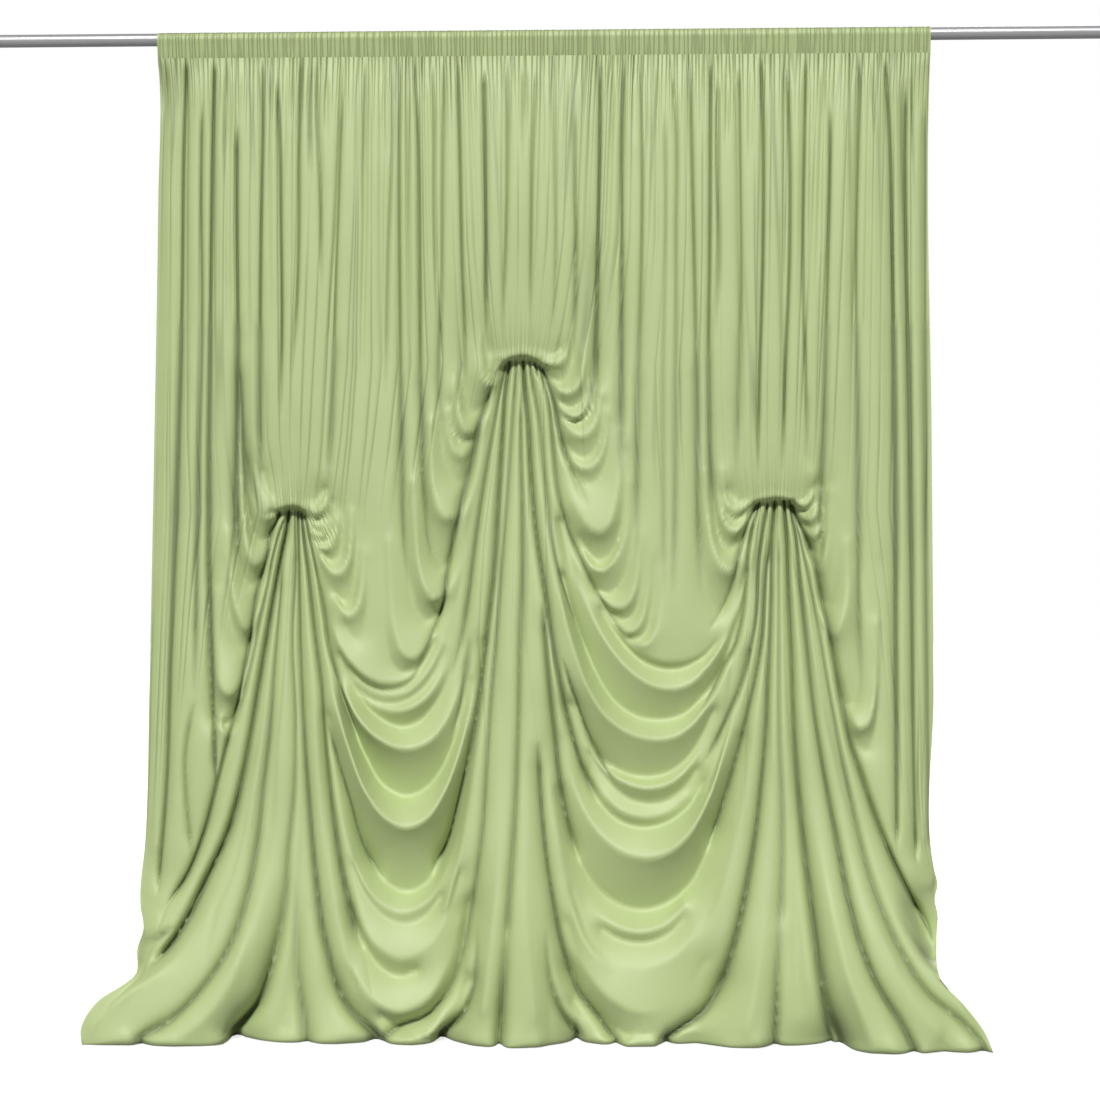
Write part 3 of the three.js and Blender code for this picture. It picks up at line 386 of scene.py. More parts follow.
# Stand-off of the cloth where it reaches the floor: x,distance
HEM = points("85,38 115,46 172,52 215,40 248,14 283,24 331,32 379,26 411,34 446,6 471,33 500,46 538,40 "
             "575,8 610,30 650,32 696,12 730,30 760,36 789,22 821,12 845,26 872,58 895,64 920,56 945,42 "
             "970,52 996,46")


# Paths are smoothed through their stations in steps of this many units
PATH_STEP = 3.0
LEAST_STEPS = 4


def share_of(distance, length):
    """How much of a length a distance covers, from 0 to 1."""
    return np.clip(distance / length, 0, 1)


def read_table(table, levels):
    """Values between the rows of a table of levels and values."""
    table = np.array(table, float)
    return np.interp(levels, table[:, 0], table[:, 1])


def lengths_along(curve):
    """Length of a curve up to each of its points."""
    return np.concatenate([[0.0], np.cumsum(np.hypot(*np.diff(curve, axis=0).T))])


def smooth_path(path, spacing=PATH_STEP):
    """Points of a smooth curve through a path's few stations, evenly spaced, and how far along it
    each one is, from 0 to 1."""
    stations = np.array(path, float)
    along = lengths_along(stations)
    chord = np.hypot(*np.diff(stations, axis=0).T)
    slope = np.diff(stations, axis=0) / chord[:, None]
    tangent = np.empty_like(stations)
    tangent[0] = slope[0]
    tangent[-1] = slope[-1]
    if len(stations) > 2:
        before, after = chord[:-1, None], chord[1:, None]
        tangent[1:-1] = (slope[:-1] * after + slope[1:] * before) / (before + after)
    count = max(int(along[-1] / spacing), LEAST_STEPS)
    places = np.linspace(0.0, along[-1], count + 1)
    k = np.clip(np.searchsorted(along, places, side="right") - 1, 0, len(chord) - 1)
    t = ((places - along[k]) / chord[k])[:, None]
    reach = chord[k][:, None]
    curve = (stations[k] * (2 * t ** 3 - 3 * t ** 2 + 1) + stations[k + 1] * (3 * t ** 2 - 2 * t ** 3)
             + tangent[k] * reach * (t ** 3 - 2 * t ** 2 + t) + tangent[k + 1] * reach * (t ** 3 - t ** 2))
    return curve, places / along[-1]


def near_path(x, y, path, reach):
    """The points within reach of a path, and for each its distance from the path, the path's
    direction there and the place along it, from 0 to 1."""
    curve, share = smooth_path(path)
    low = curve.min(axis=0) - reach
    high = curve.max(axis=0) + reach
    near = np.nonzero((x > low[0]) & (x < high[0]) & (y > low[1]) & (y < high[1]))
    best = np.full(near[0].shape, np.inf)
    along_x = np.zeros(best.shape)
    along_y = np.ones(best.shape)
    place = np.zeros(best.shape)
    for k in range(len(curve) - 1):
        from_x, from_y = x[near] - curve[k][0], y[near] - curve[k][1]
        step_x, step_y = curve[k + 1] - curve[k]
        length = math.hypot(step_x, step_y)
        t = share_of(from_x * step_x + from_y * step_y, length ** 2)
        gap = (from_x - t * step_x) ** 2 + (from_y - t * step_y) ** 2
        closer = gap < best
        best = np.where(closer, gap, best)
        along_x = np.where(closer, step_x / length, along_x)
        along_y = np.where(closer, step_y / length, along_y)
        place = np.where(closer, share[k] + t * (share[k + 1] - share[k]), place)
    return near, np.sqrt(best), (along_x, along_y), place


def outline_x(y, edge):
    """x of a side edge at the levels y, on a smooth curve through its table."""
    curve, _ = smooth_path([(x, level) for level, x in edge])
    return np.interp(y, curve[:, 1], curve[:, 0])


# Grid that carries the hanging shape: its sides, its finest cell and the coarser cells before it
X_LOW, X_HIGH, Y_LOW, Y_HIGH = 60.0, 1020.0, 24.0, 1060.0
CELL = 1.25
COARSENESS = (8, 4, 2, 1)
# The membrane: hold of the fold lines, hold of the loose cloth, the push from behind, and how it
# is relaxed
FOLD_HOLD = 6.0
LOOSE_HOLD = 0.00035
BLOW = 0.006
OVER_RELAX = 1.6
SWEEPS = 60
# How far a pouch reaches up its pleat, and how much it is raised
DROP_LENGTH = 40.0
DROP_RELIEF = 1.4
HEM_DEPTH = 14
# The loose cloth leans forward by this much at the foot, between the side edges
FOOT_LEAN = 22.0
LEAN_TOP = 380
LEAN_LENGTH = 660
LEAN_LEFT = 150
LEAN_RIGHT = 940
LEAN_EASE = 80


def corner_shares(x, y, cell, shape):
    """Column and row of the cell that each place lies in, and its shares across and down the cell."""
    across = np.clip((x - X_LOW) / cell, 0, shape[1] - 1)
    down = np.clip((y - Y_LOW) / cell, 0, shape[0] - 1)
    column = np.minimum(across.astype(int), shape[1] - 2)
    row = np.minimum(down.astype(int), shape[0] - 2)
    return column, row, across - column, down - row


def read_grid(field, cell, x, y):
    """Values between the corners of a grid."""
    column, row, across, down = corner_shares(x, y, cell, field.shape)
    upper = field[row, column] * (1 - across) + field[row, column + 1] * across
    lower = field[row + 1, column] * (1 - across) + field[row + 1, column + 1] * across
    return upper * (1 - down) + lower * down


def fold_levels(cell, shape, broad):
    """Weights and goals that the fold lines, the pouches and the hem put on a grid."""
    weight = np.zeros(shape)
    total = np.zeros(shape)
    strength = FOLD_HOLD * CELL / cell

    def press(x, y, value):
        """Hold the grid at a value at the given places."""
        column, row, across, down = corner_shares(x, y, cell, shape)
        for right, below, share in ((0, 0, (1 - across) * (1 - down)), (1, 0, across * (1 - down)),
                                    (0, 1, (1 - across) * down), (1, 1, across * down)):
            np.add.at(weight, (row + below, column + right), share * strength)
            np.add.at(total, (row + below, column + right), share * strength * value)

    for path, first, middle, last in LINES:
        curve, share = smooth_path(path, CELL)
        crest = 0.5 - 0.5 * np.cos(2 * np.pi * share)
        end = np.where(share < 0.5, first, last)
        press(curve[:, 0], curve[:, 1], end + (middle - end) * crest)
    if broad is not None:
        for path, pleat, foot, fan in DROPS:
            curve, _ = smooth_path(path, CELL)
            lowest = np.argmax(curve[:, 1])
            along = lengths_along(curve)
            before = np.maximum(along[lowest] - along, 0)
            after = np.maximum(along - along[lowest], 0) / max(along[-1] - along[lowest], 1.0)
            value = pleat + (foot - pleat) * np.exp(-(before / DROP_LENGTH) ** 2)
            value = np.where(after > 0, foot + (fan - foot) * after ** 2, value)
            base = read_grid(broad, CELL, curve[:, 0], curve[:, 1])
            press(curve[:, 0], curve[:, 1], base + DROP_RELIEF * value)
    hem_x = np.arange(HEM[0][0], HEM[-1][0], CELL)
    for level in (FLOOR_Y, FLOOR_Y + HEM_DEPTH):
        press(hem_x, np.full_like(hem_x, level), read_table(HEM, hem_x))
    return weight, total


def foot_lean(x, y):
    """How the cloth leans forward towards its foot, away from its straight side edges."""
    down = share_of(y - LEAN_TOP, LEAN_LENGTH)
    down = down * down * (3 - 2 * down)
    inside = share_of(x - LEAN_LEFT, LEAN_EASE) * share_of(LEAN_RIGHT - x, LEAN_EASE)
    return FOOT_LEAN * down * inside


def relax(field, weight, goal):
    """Relax a stretched, gently blown membrane that is held at the fold lines."""
    rows, cols = field.shape
    parity = np.add.outer(np.arange(rows), np.arange(cols)) % 2
    for _ in range(SWEEPS):
        for colour in (0, 1):
            padded = np.pad(field, 1, mode="edge")
            around = padded[:-2, 1:-1] + padded[2:, 1:-1] + padded[1:-1, :-2] + padded[1:-1, 2:]
            fresh = (around + goal) / (4.0 + weight)
            field = np.where(parity == colour, field + OVER_RELAX * (fresh - field), field)
    return field


def soften(field):
    """Average of each row of a grid with the rows beside it."""
    padded = np.pad(field, ((1, 1), (0, 0)), mode="edge")
    return (padded[:-2] + 2 * padded[1:-1] + padded[2:]) / 4


def hanging_shape(broad):
    """Stand-off of the hanging cloth, on a grid of the finest cell. The pouches need a broad shape."""
    field = None
    for times in COARSENESS:
        cell = times * CELL
        shape = (int((Y_HIGH - Y_LOW) / cell) + 1, int((X_HIGH - X_LOW) / cell) + 1)
        grid_y, grid_x = np.mgrid[:shape[0], :shape[1]] * cell
        grid_x = grid_x + X_LOW
        grid_y = grid_y + Y_LOW
        if field is None:
            field = np.zeros(shape)
        else:
            field = read_grid(field, last_cell, grid_x, grid_y)
        weight, total = fold_levels(cell, shape, broad)
        loose = LOOSE_HOLD * cell * cell
        goal = total + loose * foot_lean(grid_x, grid_y) + BLOW * cell * cell
        field = relax(field, weight + loose, goal)
        last_cell = cell
    return soften(soften(field).T).T


# Depth and half width of the valleys for each unit in the tables: pleats start above the level
PLEATS_START = 340
PLEAT_SCALE = (1.15, 0.36)
CREASE_SCALE = (1.75, 0.6)
# Share of a valley's depth that is sharp, how much wider its soft flanks are, its round bottom,
# and how far it is felt, in widths of its flanks
SHARP_SHARE = 0.62
FLANK_WIDTH = 3.4
VALLEY_BOTTOM = 0.5
VALLEY_REACH = 4.0
# Least widths, in steps of the mesh: bottom, sharp part, flanks and painted shade line
STEP_BOTTOM = 0.65
STEP_SHARP = 0.95
STEP_FLANK = 1.5
STEP_SHADE_LINE = 0.9
# Painted shade line in a valley, darkening the colour where occlusion would fall: half width, depth of the
# valley that has it in full, and its most
SHADE_LINE_WIDTH = 1.2
SHADE_LINE_DEPTH = 5.0
SHADE_LINE_MOST = 1.2
# Valleys grow deeper towards the foot, and those that come near the floor run on to it
FOOT_DEEPENS = 0.8
DEEPENS_TOP = 760
DEEPENS_LENGTH = 280
NEAR_FLOOR_Y = 1000
RUN_ON_Y = 1044
RUN_ON_LEAN = 1.2
# Gathers, and how near to one a valley starts that belongs to it
GATHERS = ((291, 508), (522, 358), (775, 500))
GATHER_REACH = 26
# Length over which a valley fades in: at a gather, at the seam, elsewhere, and as a share of its
# length where it opens in the lower cloth
FADE_AT_GATHER = 2.0
SEAM_START_Y = 75
FADE_AT_SEAM = 12.0
FADE_IN = 30.0
OPENING_Y = 850
OPENING_SHARE = 0.8
# Fading out at the floor, in the lower cloth and above: length, and the most of its own length
FADE_AT_FLOOR = 4.0
LOW_END_Y = 700
FADE_OUT_LOW = (24.0, 0.3)
FADE_OUT_HIGH = (70.0, 0.4)


def run_on(path):
    """A path that comes close to the floor, run on to the cloth's foot."""
    (before_x, before_y), (last_x, last_y) = path[-2:]
    if last_y < NEAR_FLOOR_Y:
        return path
    lean = np.clip((last_x - before_x) / (last_y - before_y), -RUN_ON_LEAN, RUN_ON_LEAN)
    return path + ((last_x + lean * (RUN_ON_Y - last_y), RUN_ON_Y),)


def valley_fade(path, place, length):
    """Ease a valley in and out over a few units, at once where it starts in a gather."""
    first_y = path[0][1]
    last_y = path[-1][1]
    if first_y > OPENING_Y:
        fade_in = OPENING_SHARE * length
    elif first_y < SEAM_START_Y:
        fade_in = FADE_AT_SEAM
    elif np.hypot(*(np.array(GATHERS, float) - path[0]).T).min() < GATHER_REACH:
        fade_in = FADE_AT_GATHER
    else:
        fade_in = FADE_IN
    if last_y > NEAR_FLOOR_Y:
        fade_out = FADE_AT_FLOOR
    else:
        longest, most = FADE_OUT_LOW if last_y > LOW_END_Y else FADE_OUT_HIGH
        fade_out = min(longest, most * length)
    along = place * length
    return share_of(along, fade_in) * share_of(length - along, fade_out)


def valley_profile(gap, spread, bottom):
    """Section of a valley: a rounded bottom and flanks that swell into the tubes beside it."""
    return np.exp(-(np.sqrt(gap ** 2 + bottom ** 2) - bottom) / spread)


def valleys(x, y):
    """Squared depth of the drawn valleys between pleats and of the fans' creases, and the painted shade
    lines along their bottoms.

    A valley is never narrower than the mesh can carry."""
    squares = np.zeros_like(x)
    shade_lines = np.zeros_like(x)
    down_x, across_x = np.gradient(x)
    down_y, across_y = np.gradient(y)
    for drawn, depth, half in PLEATS + CREASES:
        path = run_on(drawn)
        scale, width = PLEAT_SCALE if path[0][1] < PLEATS_START else CREASE_SCALE
        spread = width * half
        near, gap, along, place = near_path(x, y, path, VALLEY_REACH * FLANK_WIDTH * spread)
        length = lengths_along(np.array(path, float))[-1]
        shown = valley_fade(path, place, length)
        step = np.maximum(np.abs(across_x[near] * along[1] - across_y[near] * along[0]),
                          np.abs(down_x[near] * along[1] - down_y[near] * along[0]))
        grows = 1 + FOOT_DEEPENS * share_of(y[near] - DEEPENS_TOP, DEEPENS_LENGTH)
        bottom = np.maximum(VALLEY_BOTTOM, STEP_BOTTOM * step)
        sharp = valley_profile(gap, np.maximum(spread, STEP_SHARP * step), bottom)
        flank = valley_profile(gap, np.maximum(FLANK_WIDTH * spread, STEP_FLANK * step), bottom)
        profile = SHARP_SHARE * sharp + (1 - SHARP_SHARE) * flank
        squares[near] += (scale * depth * shown * profile * grows) ** 2
        # painted shade: a dark line along the valley's bottom, standing in for occlusion that the mesh
        # cannot carry
        shade_line = np.exp(-(gap / np.maximum(SHADE_LINE_WIDTH, STEP_SHADE_LINE * step)) ** 2)
        shade_line = shade_line * min(depth / SHADE_LINE_DEPTH, SHADE_LINE_MOST) * shown
        shade_lines[near] = np.maximum(shade_lines[near], shade_line)
    return squares, shade_lines


SMALL_SEED = 7
# Smaller valleys of the hanging cloth: where they lie, and ranges of their width, depth, spacing,
# start and sideways drift
SMALL_LEFT = 160.0
SMALL_RIGHT = 927
SMALL_SPREAD = (1.2, 2.8)
SMALL_DEPTH = (0.5, 3.6)
SMALL_GAP = (6.0, 16.0)
SMALL_TOP = (57, 82)
SMALL_DRIFT = (-4, 4)
SMALL_FADE_IN = 12
SMALL_FADE_OUT = 0.4
# Some of them are short, and the others end at a share of the level in the table below
SHORT_SHARE = 0.4
SHORT_END = (85, 200)
LONG_END = (0.6, 1.0)
# Where the smaller valleys of the hanging cloth end at the latest: x,level
SMALL_ENDS = points("155,900 262,560 290,470 330,560 430,520 490,360 522,330 560,360 600,480 740,520 "
                    "775,470 808,480 855,500 885,860 932,900")
# The part of the hanging cloth that each gather takes in, and the gather's level
FANS = ((262, 326, 510), (486, 576, 359), (744, 816, 501))
# The same ranges for the smaller valleys of the fans, which widen downwards
FAN_SPREAD = (1.6, 3.4)
FAN_DEPTH = (0.4, 2.6)
FAN_GAP = (8.0, 19.0)
FAN_DRIFT = (-3, 3)
FAN_END = (760, 1400)
FAN_FADE_IN = 8
FAN_FADE_OUT = 140
FAN_WIDENS = (0.6, 1.2)
FAN_MARGINS = (2.0, 1.0)


def small_valleys(hung, x_scale, y):
    """Squared depth of the many smaller valleys, unevenly spaced across the cloth.

    hung is each column's place across the hanging cloth, and x_scale how far it is spread there."""
    rng = np.random.default_rng(SMALL_SEED)
    squares = np.zeros_like(y)
    place = SMALL_LEFT
    while place < SMALL_RIGHT:
        spread = rng.uniform(*SMALL_SPREAD)
        depth = rng.uniform(*SMALL_DEPTH)
        top = rng.uniform(*SMALL_TOP)
        if rng.random() < SHORT_SHARE:
            bottom = rng.uniform(*SHORT_END)
        else:
            bottom = read_table(SMALL_ENDS, place) * rng.uniform(*LONG_END)
        drift = rng.uniform(*SMALL_DRIFT)
        down = share_of(y - top, bottom - top)
        shown = share_of(y - top, SMALL_FADE_IN) * share_of(bottom - y, SMALL_FADE_OUT * (bottom - top))
        gap = (hung - place - drift * down) * x_scale
        squares += (depth * shown * valley_profile(gap, spread, VALLEY_BOTTOM)) ** 2
        place += rng.uniform(*SMALL_GAP)
    narrow, widens = FAN_WIDENS
    left_margin, right_margin = FAN_MARGINS
    for left, right, gather_y in FANS:
        place = left + left_margin
        while place < right - right_margin:
            spread = rng.uniform(*FAN_SPREAD)
            depth = rng.uniform(*FAN_DEPTH)
            drift = rng.uniform(*FAN_DRIFT)
            last = rng.uniform(*FAN_END)
            down = share_of(y - gather_y, FLOOR_Y - gather_y)
            shown = share_of(y - gather_y, FAN_FADE_IN) * share_of(last - y, FAN_FADE_OUT)
            gap = (hung - place - drift * down) * x_scale
            profile = valley_profile(gap, spread * (narrow + widens * down), VALLEY_BOTTOM + down)
            squares += (depth * shown * profile) ** 2
            place += rng.uniform(*FAN_GAP)
    return squares


# Flank lines of the three fans: level,x
FLANKS = (
    points("60,263 240,262 440,266 512,278 553,268 612,254 695,239 778,218 832,204 876,186 906,166 "
           "976,140 1005,108 1038,92"),
    points("60,332 240,326 440,314 512,307 560,317 625,327 700,333 760,340 850,350 950,362 1038,378"),
    points("60,480 240,486 320,493 366,499 440,485 540,467 640,460 740,466 840,462 900,458 960,452 "
           "1038,447"),
    points("60,585 240,576 320,562 366,551 440,553 500,558 640,562 740,574 1038,575"),
    points("60,742 240,744 440,748 508,753 560,744 620,734 700,728 760,722 860,712 940,704 1038,697"),
    points("60,822 240,816 440,806 508,799 560,812 605,826 655,833 705,843 775,861 855,891 912,920 "
           "944,932 976,938 1038,990"),
)
SWAG_STRIPS = (2, 4)
# How far the rows of the mesh sag in a swag: level,sag
SAG = points("60,0 160,0 361,60 440,66 520,100 600,92 700,86 800,74 900,48 980,28 1038,0")
SAG_SHARPNESS = 2.2
# How far apart the mesh's rows are: level,gap
ROW_GAPS = points("56,2.5 70,7 110,14 325,14 346,2.2 384,2.2 398,3.3 486,3.3 494,2.2 528,2.2 544,3.3 "
                  "760,3.3 800,5 1038,5")
LEVEL_STEP = 0.05
# Above this level the columns crowd at the pleats, and below it they spread evenly in the fans
SPLIT_Y = 326
UPPER_COLUMNS = 640
LOWER_COLUMNS = 412
LEAST_SPREAD = 0.8
EVEN_LEVEL = 820
PLEAT_CROWD = 0.9
LOWER_CROWD = 0.45
CROWD_WIDTH = 4.0
# A column keeps its place across the cloth, which is counted at this level: the sides there
HUNG_LEVEL = 240
HUNG_SIDES = (158, 930)
HUNG_SAMPLES = 4000
# The seam's slant, as seen, is gone at this level
SLANT_END = 110


def strip_lines(levels):
    """x of the cloth's edges and of the flank lines at the given levels."""
    flanks = [read_table(flank, levels) for flank in FLANKS]
    return np.array([outline_x(levels, LEFT_EDGE), *flanks, outline_x(levels, RIGHT_EDGE)])


def row_levels():
    """Levels of the mesh's rows, from the seam to the floor."""
    fine = np.arange(SEAM_Y, FLOOR_Y + LEVEL_STEP, LEVEL_STEP)
    rows = np.concatenate([[0.0], np.cumsum(LEVEL_STEP / read_table(ROW_GAPS, fine[1:]))])
    return np.interp(np.linspace(0, rows[-1], round(rows[-1]) + 1), rows, fine)


def at_pleats(x):
    """Bumps of height 1 where the long pleats cross the hanging level."""
    bumps = np.zeros_like(x)
    for path, _, _ in PLEATS:
        if path[0][1] < HUNG_LEVEL < path[-1][1]:
            centre = read_table([(level, x_there) for x_there, level in path], HUNG_LEVEL)
            bumps = np.maximum(bumps, np.exp(-((x - centre) / CROWD_WIDTH) ** 2))
    return bumps


def column_places(x, density, count):
    """Strip and share across it of columns that crowd where the density along x is high."""
    total = np.cumsum(density)
    column_x = np.interp(np.linspace(total[0], total[-1], count + 1), total, x)
    lines = strip_lines(np.array([HUNG_LEVEL]))[:, 0]
    column_x = np.clip(column_x, lines[0], lines[-1])
    column_x[0] = lines[0]
    column_x[-1] = lines[-1]
    strip = np.clip(np.searchsorted(lines, column_x, side="right") - 1, 0, len(lines) - 2)
    share = (column_x - lines[strip]) / (lines[strip + 1] - lines[strip])
    return strip, share


def upper_columns():
    """Columns of the upper block, which crowd at the pleats."""
    x = np.linspace(*HUNG_SIDES, HUNG_SAMPLES)
    return column_places(x, 1.0 + PLEAT_CROWD * at_pleats(x), UPPER_COLUMNS)


def lower_columns():
    """Columns of the lower block, which lie evenly where the fans have opened."""
    x = np.linspace(*HUNG_SIDES, HUNG_SAMPLES)
    lines = strip_lines(np.array([HUNG_LEVEL, EVEN_LEVEL]))
    spread = np.maximum(np.diff(lines[:, 1]) / np.diff(lines[:, 0]), LEAST_SPREAD)
    strip = np.clip(np.searchsorted(lines[:, 0], x) - 1, 0, len(spread) - 1)
    return column_places(x, spread[strip] + LOWER_CROWD * at_pleats(x), LOWER_COLUMNS)


def cloth_grid(levels, columns):
    """x and y of the mesh's points on the given rows and columns, each column's place across the
    hanging cloth, and how far it is spread there."""
    strip, share = columns
    sag = read_table(SAG, levels)
    in_swag = np.isin(strip, SWAG_STRIPS)
    bow = np.where(in_swag, 1 - np.abs(2 * share - 1) ** SAG_SHARPNESS, 0.0)
    y = levels[:, None] + sag[:, None] * bow[None, :]
    lines = strip_lines(y.ravel()).reshape(-1, *y.shape)
    places = np.broadcast_to(strip, y.shape)
    left = np.take_along_axis(lines, places[None], axis=0)[0]
    right = np.take_along_axis(lines, places[None] + 1, axis=0)[0]
    x = left + (right - left) * share
    hung_lines = strip_lines(np.array([HUNG_LEVEL]))[:, 0]
    hung_width = hung_lines[strip + 1] - hung_lines[strip]
    hung = np.broadcast_to(hung_lines[strip] + hung_width * share, y.shape)
    spread = (right - left) / hung_width
    # The seam is level in the world, so it slants a little as seen
    seam_up = SEAM_Z / UNIT - EYE_HEIGHT
    slant = EYE_Y - seam_up / (1 - TURN_SCALE * (x - EYE_X)) - SEAM_Y
    y = y + slant * share_of(SLANT_END - y, SLANT_END - SEAM_Y)
    return x, y, hung, spread


def real_place(x, y, out):
    """World place of a point seen at x, y that stands out from the heading's plane."""
    scale = 1 - TURN_SCALE * (x - EYE_X)
    nearness = out / EYE_DISTANCE
    across = (x - EYE_X) * scale + EYE_X - MIDDLE_X
    across = across * (1 - nearness) + EYE_ACROSS * nearness
    up = (EYE_Y - y) * scale * (1 - nearness)
    return np.stack([across * UNIT, ROD_Y - out * UNIT, (EYE_HEIGHT + up) * UNIT], axis=-1)


def stitch(upper_x, lower_x, upper_start, lower_start):
    """Triangles between a row of points and the next row, which has its own columns."""
    faces = []
    i = 0
    j = 0
    while i < len(upper_x) - 1 or j < len(lower_x) - 1:
        last = j == len(lower_x) - 1
        if last or (i < len(upper_x) - 1 and upper_x[i + 1] <= lower_x[j + 1]):
            faces.append((upper_start + i, lower_start + j, upper_start + i + 1))
            i += 1
        else:
            faces.append((upper_start + i, lower_start + j, lower_start + j + 1))
            j += 1
    return faces


def split_quads(grid, start):
    """Triangles over a grid of points, each quad split along the fold that runs through it."""
    rows, columns = grid.shape[:2]
    index = start + np.arange(rows * columns).reshape(rows, columns)
    above_left, above_right = index[:-1, :-1], index[:-1, 1:]
    below_left, below_right = index[1:, :-1], index[1:, 1:]
    depth = grid[:, :, 1]
    falling = np.abs(depth[:-1, :-1] - depth[1:, 1:]) < np.abs(depth[1:, :-1] - depth[:-1, 1:])
    first = np.stack([above_left, below_left, np.where(falling, below_right, above_right)], axis=-1)
    second = np.stack([np.where(falling, above_left, below_left), below_right, above_right], axis=-1)
    return np.concatenate([first.reshape(-1, 3), second.reshape(-1, 3)]).tolist()


def add_object(name, data):
    """An object in the scene that holds a mesh, a light or a camera."""
    thing = bpy.data.objects.new(name, data)
    bpy.context.collection.objects.link(thing)
    return thing


def make_mesh(name, grids):
    """Smooth mesh over grids of points that lie one under the other."""
    faces = []
    start = 0
    for number, grid in enumerate(grids):
        faces += split_quads(grid, start)
        if number > 0:
            above = grids[number - 1][-1]
            faces += stitch(above[:, 0], grid[0, :, 0], start - len(above), start)
        start += grid.shape[0] * grid.shape[1]
    places = np.concatenate([grid.reshape(-1, 3) for grid in grids])
    mesh = bpy.data.meshes.new(name)
    mesh.from_pydata(places.tolist(), [], faces)
    mesh.polygons.foreach_set("use_smooth", np.ones(len(mesh.polygons), bool))
    mesh.update()
    return add_object(name, mesh)


def mark(piece, name, values):
    """A number for each point of a piece, for its material to read."""
    attribute = piece.data.attributes.new(name, "FLOAT", "POINT")
    attribute.data.foreach_set("value", values.ravel().astype(np.float32))


# Pocket, in metres: its ease round the rod, the share of it that the pocket hangs low, and how far
# the seam stands out from the rod's axis
POCKET_EASE = 0.002
POCKET_HANG = 0.6
POCKET_STEPS = 17
SEAM_OUT = 0.009
# Rows between the seam and the rod, as shares of the way up
FLAT_ROWS = (0.0, 0.08, 0.2, 0.4, 0.6, 0.8)
# Ripples that the shirring leaves in the pocket: height in metres, ranges of their half width,
# share of the height and spacing in half widths, and how far above the seam they are at full height
HEADING_COLUMNS = 1400
SHIRR_SEED = 3
SHIRR_HEIGHT = 0.0011
RIPPLE_WIDTH = (0.0025, 0.007)
RIPPLE_SHARE = (0.3, 1.0)
RIPPLE_GAP = (1.3, 2.4)
RIPPLE_START = 0.012
LEAST_REACH = 0.004
# Marks of the heading: shirring, units between its rows, and the painted shade along its top edge
HEADING_SHIRR = 0.8
HEADING_ROW = 3.0
EDGE_SHADE = 0.8
EDGE_DEPTH = 0.006
EDGE_EASE = 0.004


def flat_side(corner_out, corner_z):
    """Places on a flat side of the pocket, from the seam towards its corner at the rod: out, z."""
    return [(SEAM_OUT + (corner_out - SEAM_OUT) * share, SEAM_Z + (corner_z - SEAM_Z) * share)
            for share in FLAT_ROWS]


def pocket_section():
    """Places round the rod from the seam at the back, over the rod, to the seam in front: out, z."""
    radius = ROD_RADIUS + POCKET_EASE
    centre = ROD_Z - POCKET_HANG * POCKET_EASE
    lean = math.asin(radius / (centre - SEAM_Z))
    corner_out = radius * math.cos(lean)
    corner_z = centre - radius * math.sin(lean)
    arc = [(radius * math.sin(angle), centre + radius * math.cos(angle))
           for angle in np.linspace(-math.pi / 2 - lean, math.pi / 2 + lean, POCKET_STEPS)]
    return flat_side(-corner_out, corner_z) + arc + flat_side(corner_out, corner_z)[::-1], centre


def shirring(x):
    """Height of the narrow ripples that the shirring leaves in the pocket."""
    rng = np.random.default_rng(SHIRR_SEED)
    relief = np.zeros_like(x)
    place = x[0]
    while place < x[-1]:
        width = rng.uniform(*RIPPLE_WIDTH)
        height = rng.uniform(*RIPPLE_SHARE)
        relief = np.maximum(relief, height * np.exp(-((x - place) / width) ** 2))
        place += rng.uniform(*RIPPLE_GAP) * width
    return relief


def make_heading(left, right):
    """The pocket that the rod runs through, shirred along its seam."""
    x = np.linspace(left, right, HEADING_COLUMNS + 1)
    ripple = SHIRR_HEIGHT * shirring(x)
    section, centre = pocket_section()
    rows = []
    for out, z in section:
        above = max(z - centre, 0.0)
        reach = max(math.hypot(out, above), LEAST_REACH)
        push = ripple * min((z - SEAM_Z) / RIPPLE_START, 1.0)
        rows.append(np.stack([x, ROD_Y - out - push * out / reach, z + push * above / reach], axis=-1))
    places = np.array(rows)
    shape = places.shape[:2]
    height = places[:, :, 2]
    edge = share_of(height - height.max() + EDGE_DEPTH, EDGE_EASE)
    heading = make_mesh("curtain_heading", [places])
    mark(heading, "hung", np.broadcast_to(MIDDLE_X + x / UNIT, shape))
    mark(heading, "shirr", np.full(shape, HEADING_SHIRR))
    mark(heading, "down", np.broadcast_to(SEAM_Y - HEADING_ROW * np.arange(shape[0])[:, None], shape))
    mark(heading, "pleated", np.zeros(shape))
    # painted shade darkens the pocket's top edge
    mark(heading, "painted_shade", EDGE_SHADE * edge)
    return heading


# Cloth below the seam, in units: how far it stands out more than its hanging shape, and the reach
# and power with which that and its folds grow from the seam
STAND_OUT = 6.0
GROWTH_LENGTH = 24
GROWTH_POWER = 0.7
# The wall's side of the cloth: how far back it may go, and how that comes forward at the foot
BACK_LIMIT = -17.0
FOOT_FORWARD = 14.0
FORWARD_Y = 900
# Beyond this stand-off the cloth comes forward less
FRONT_EASE = 45.0
FRONT_SHARE = 0.8
# Marks for the material: where the shirring ends, and how the small pleats fade at their ends
SHIRR_END = 150
SHIRR_POWER = 1.5
GATHER_SHIRR = 0.8
GATHER_SHIRR_REACH = 24
PLEATS_FADE = 90
FAN_PLEATS = 0.6
FAN_SIDE_FADE = 8
FAN_TOP_FADE = 10
FAN_PLEATS_END = 860
FAN_PLEATS_FADE = 200
# Foot: the level from which it settles on the floor, and its rounded bunches
SETTLE_Y = 985
ROLL_RADIUS = 7.0
ROLL_UNEVEN = 1.6
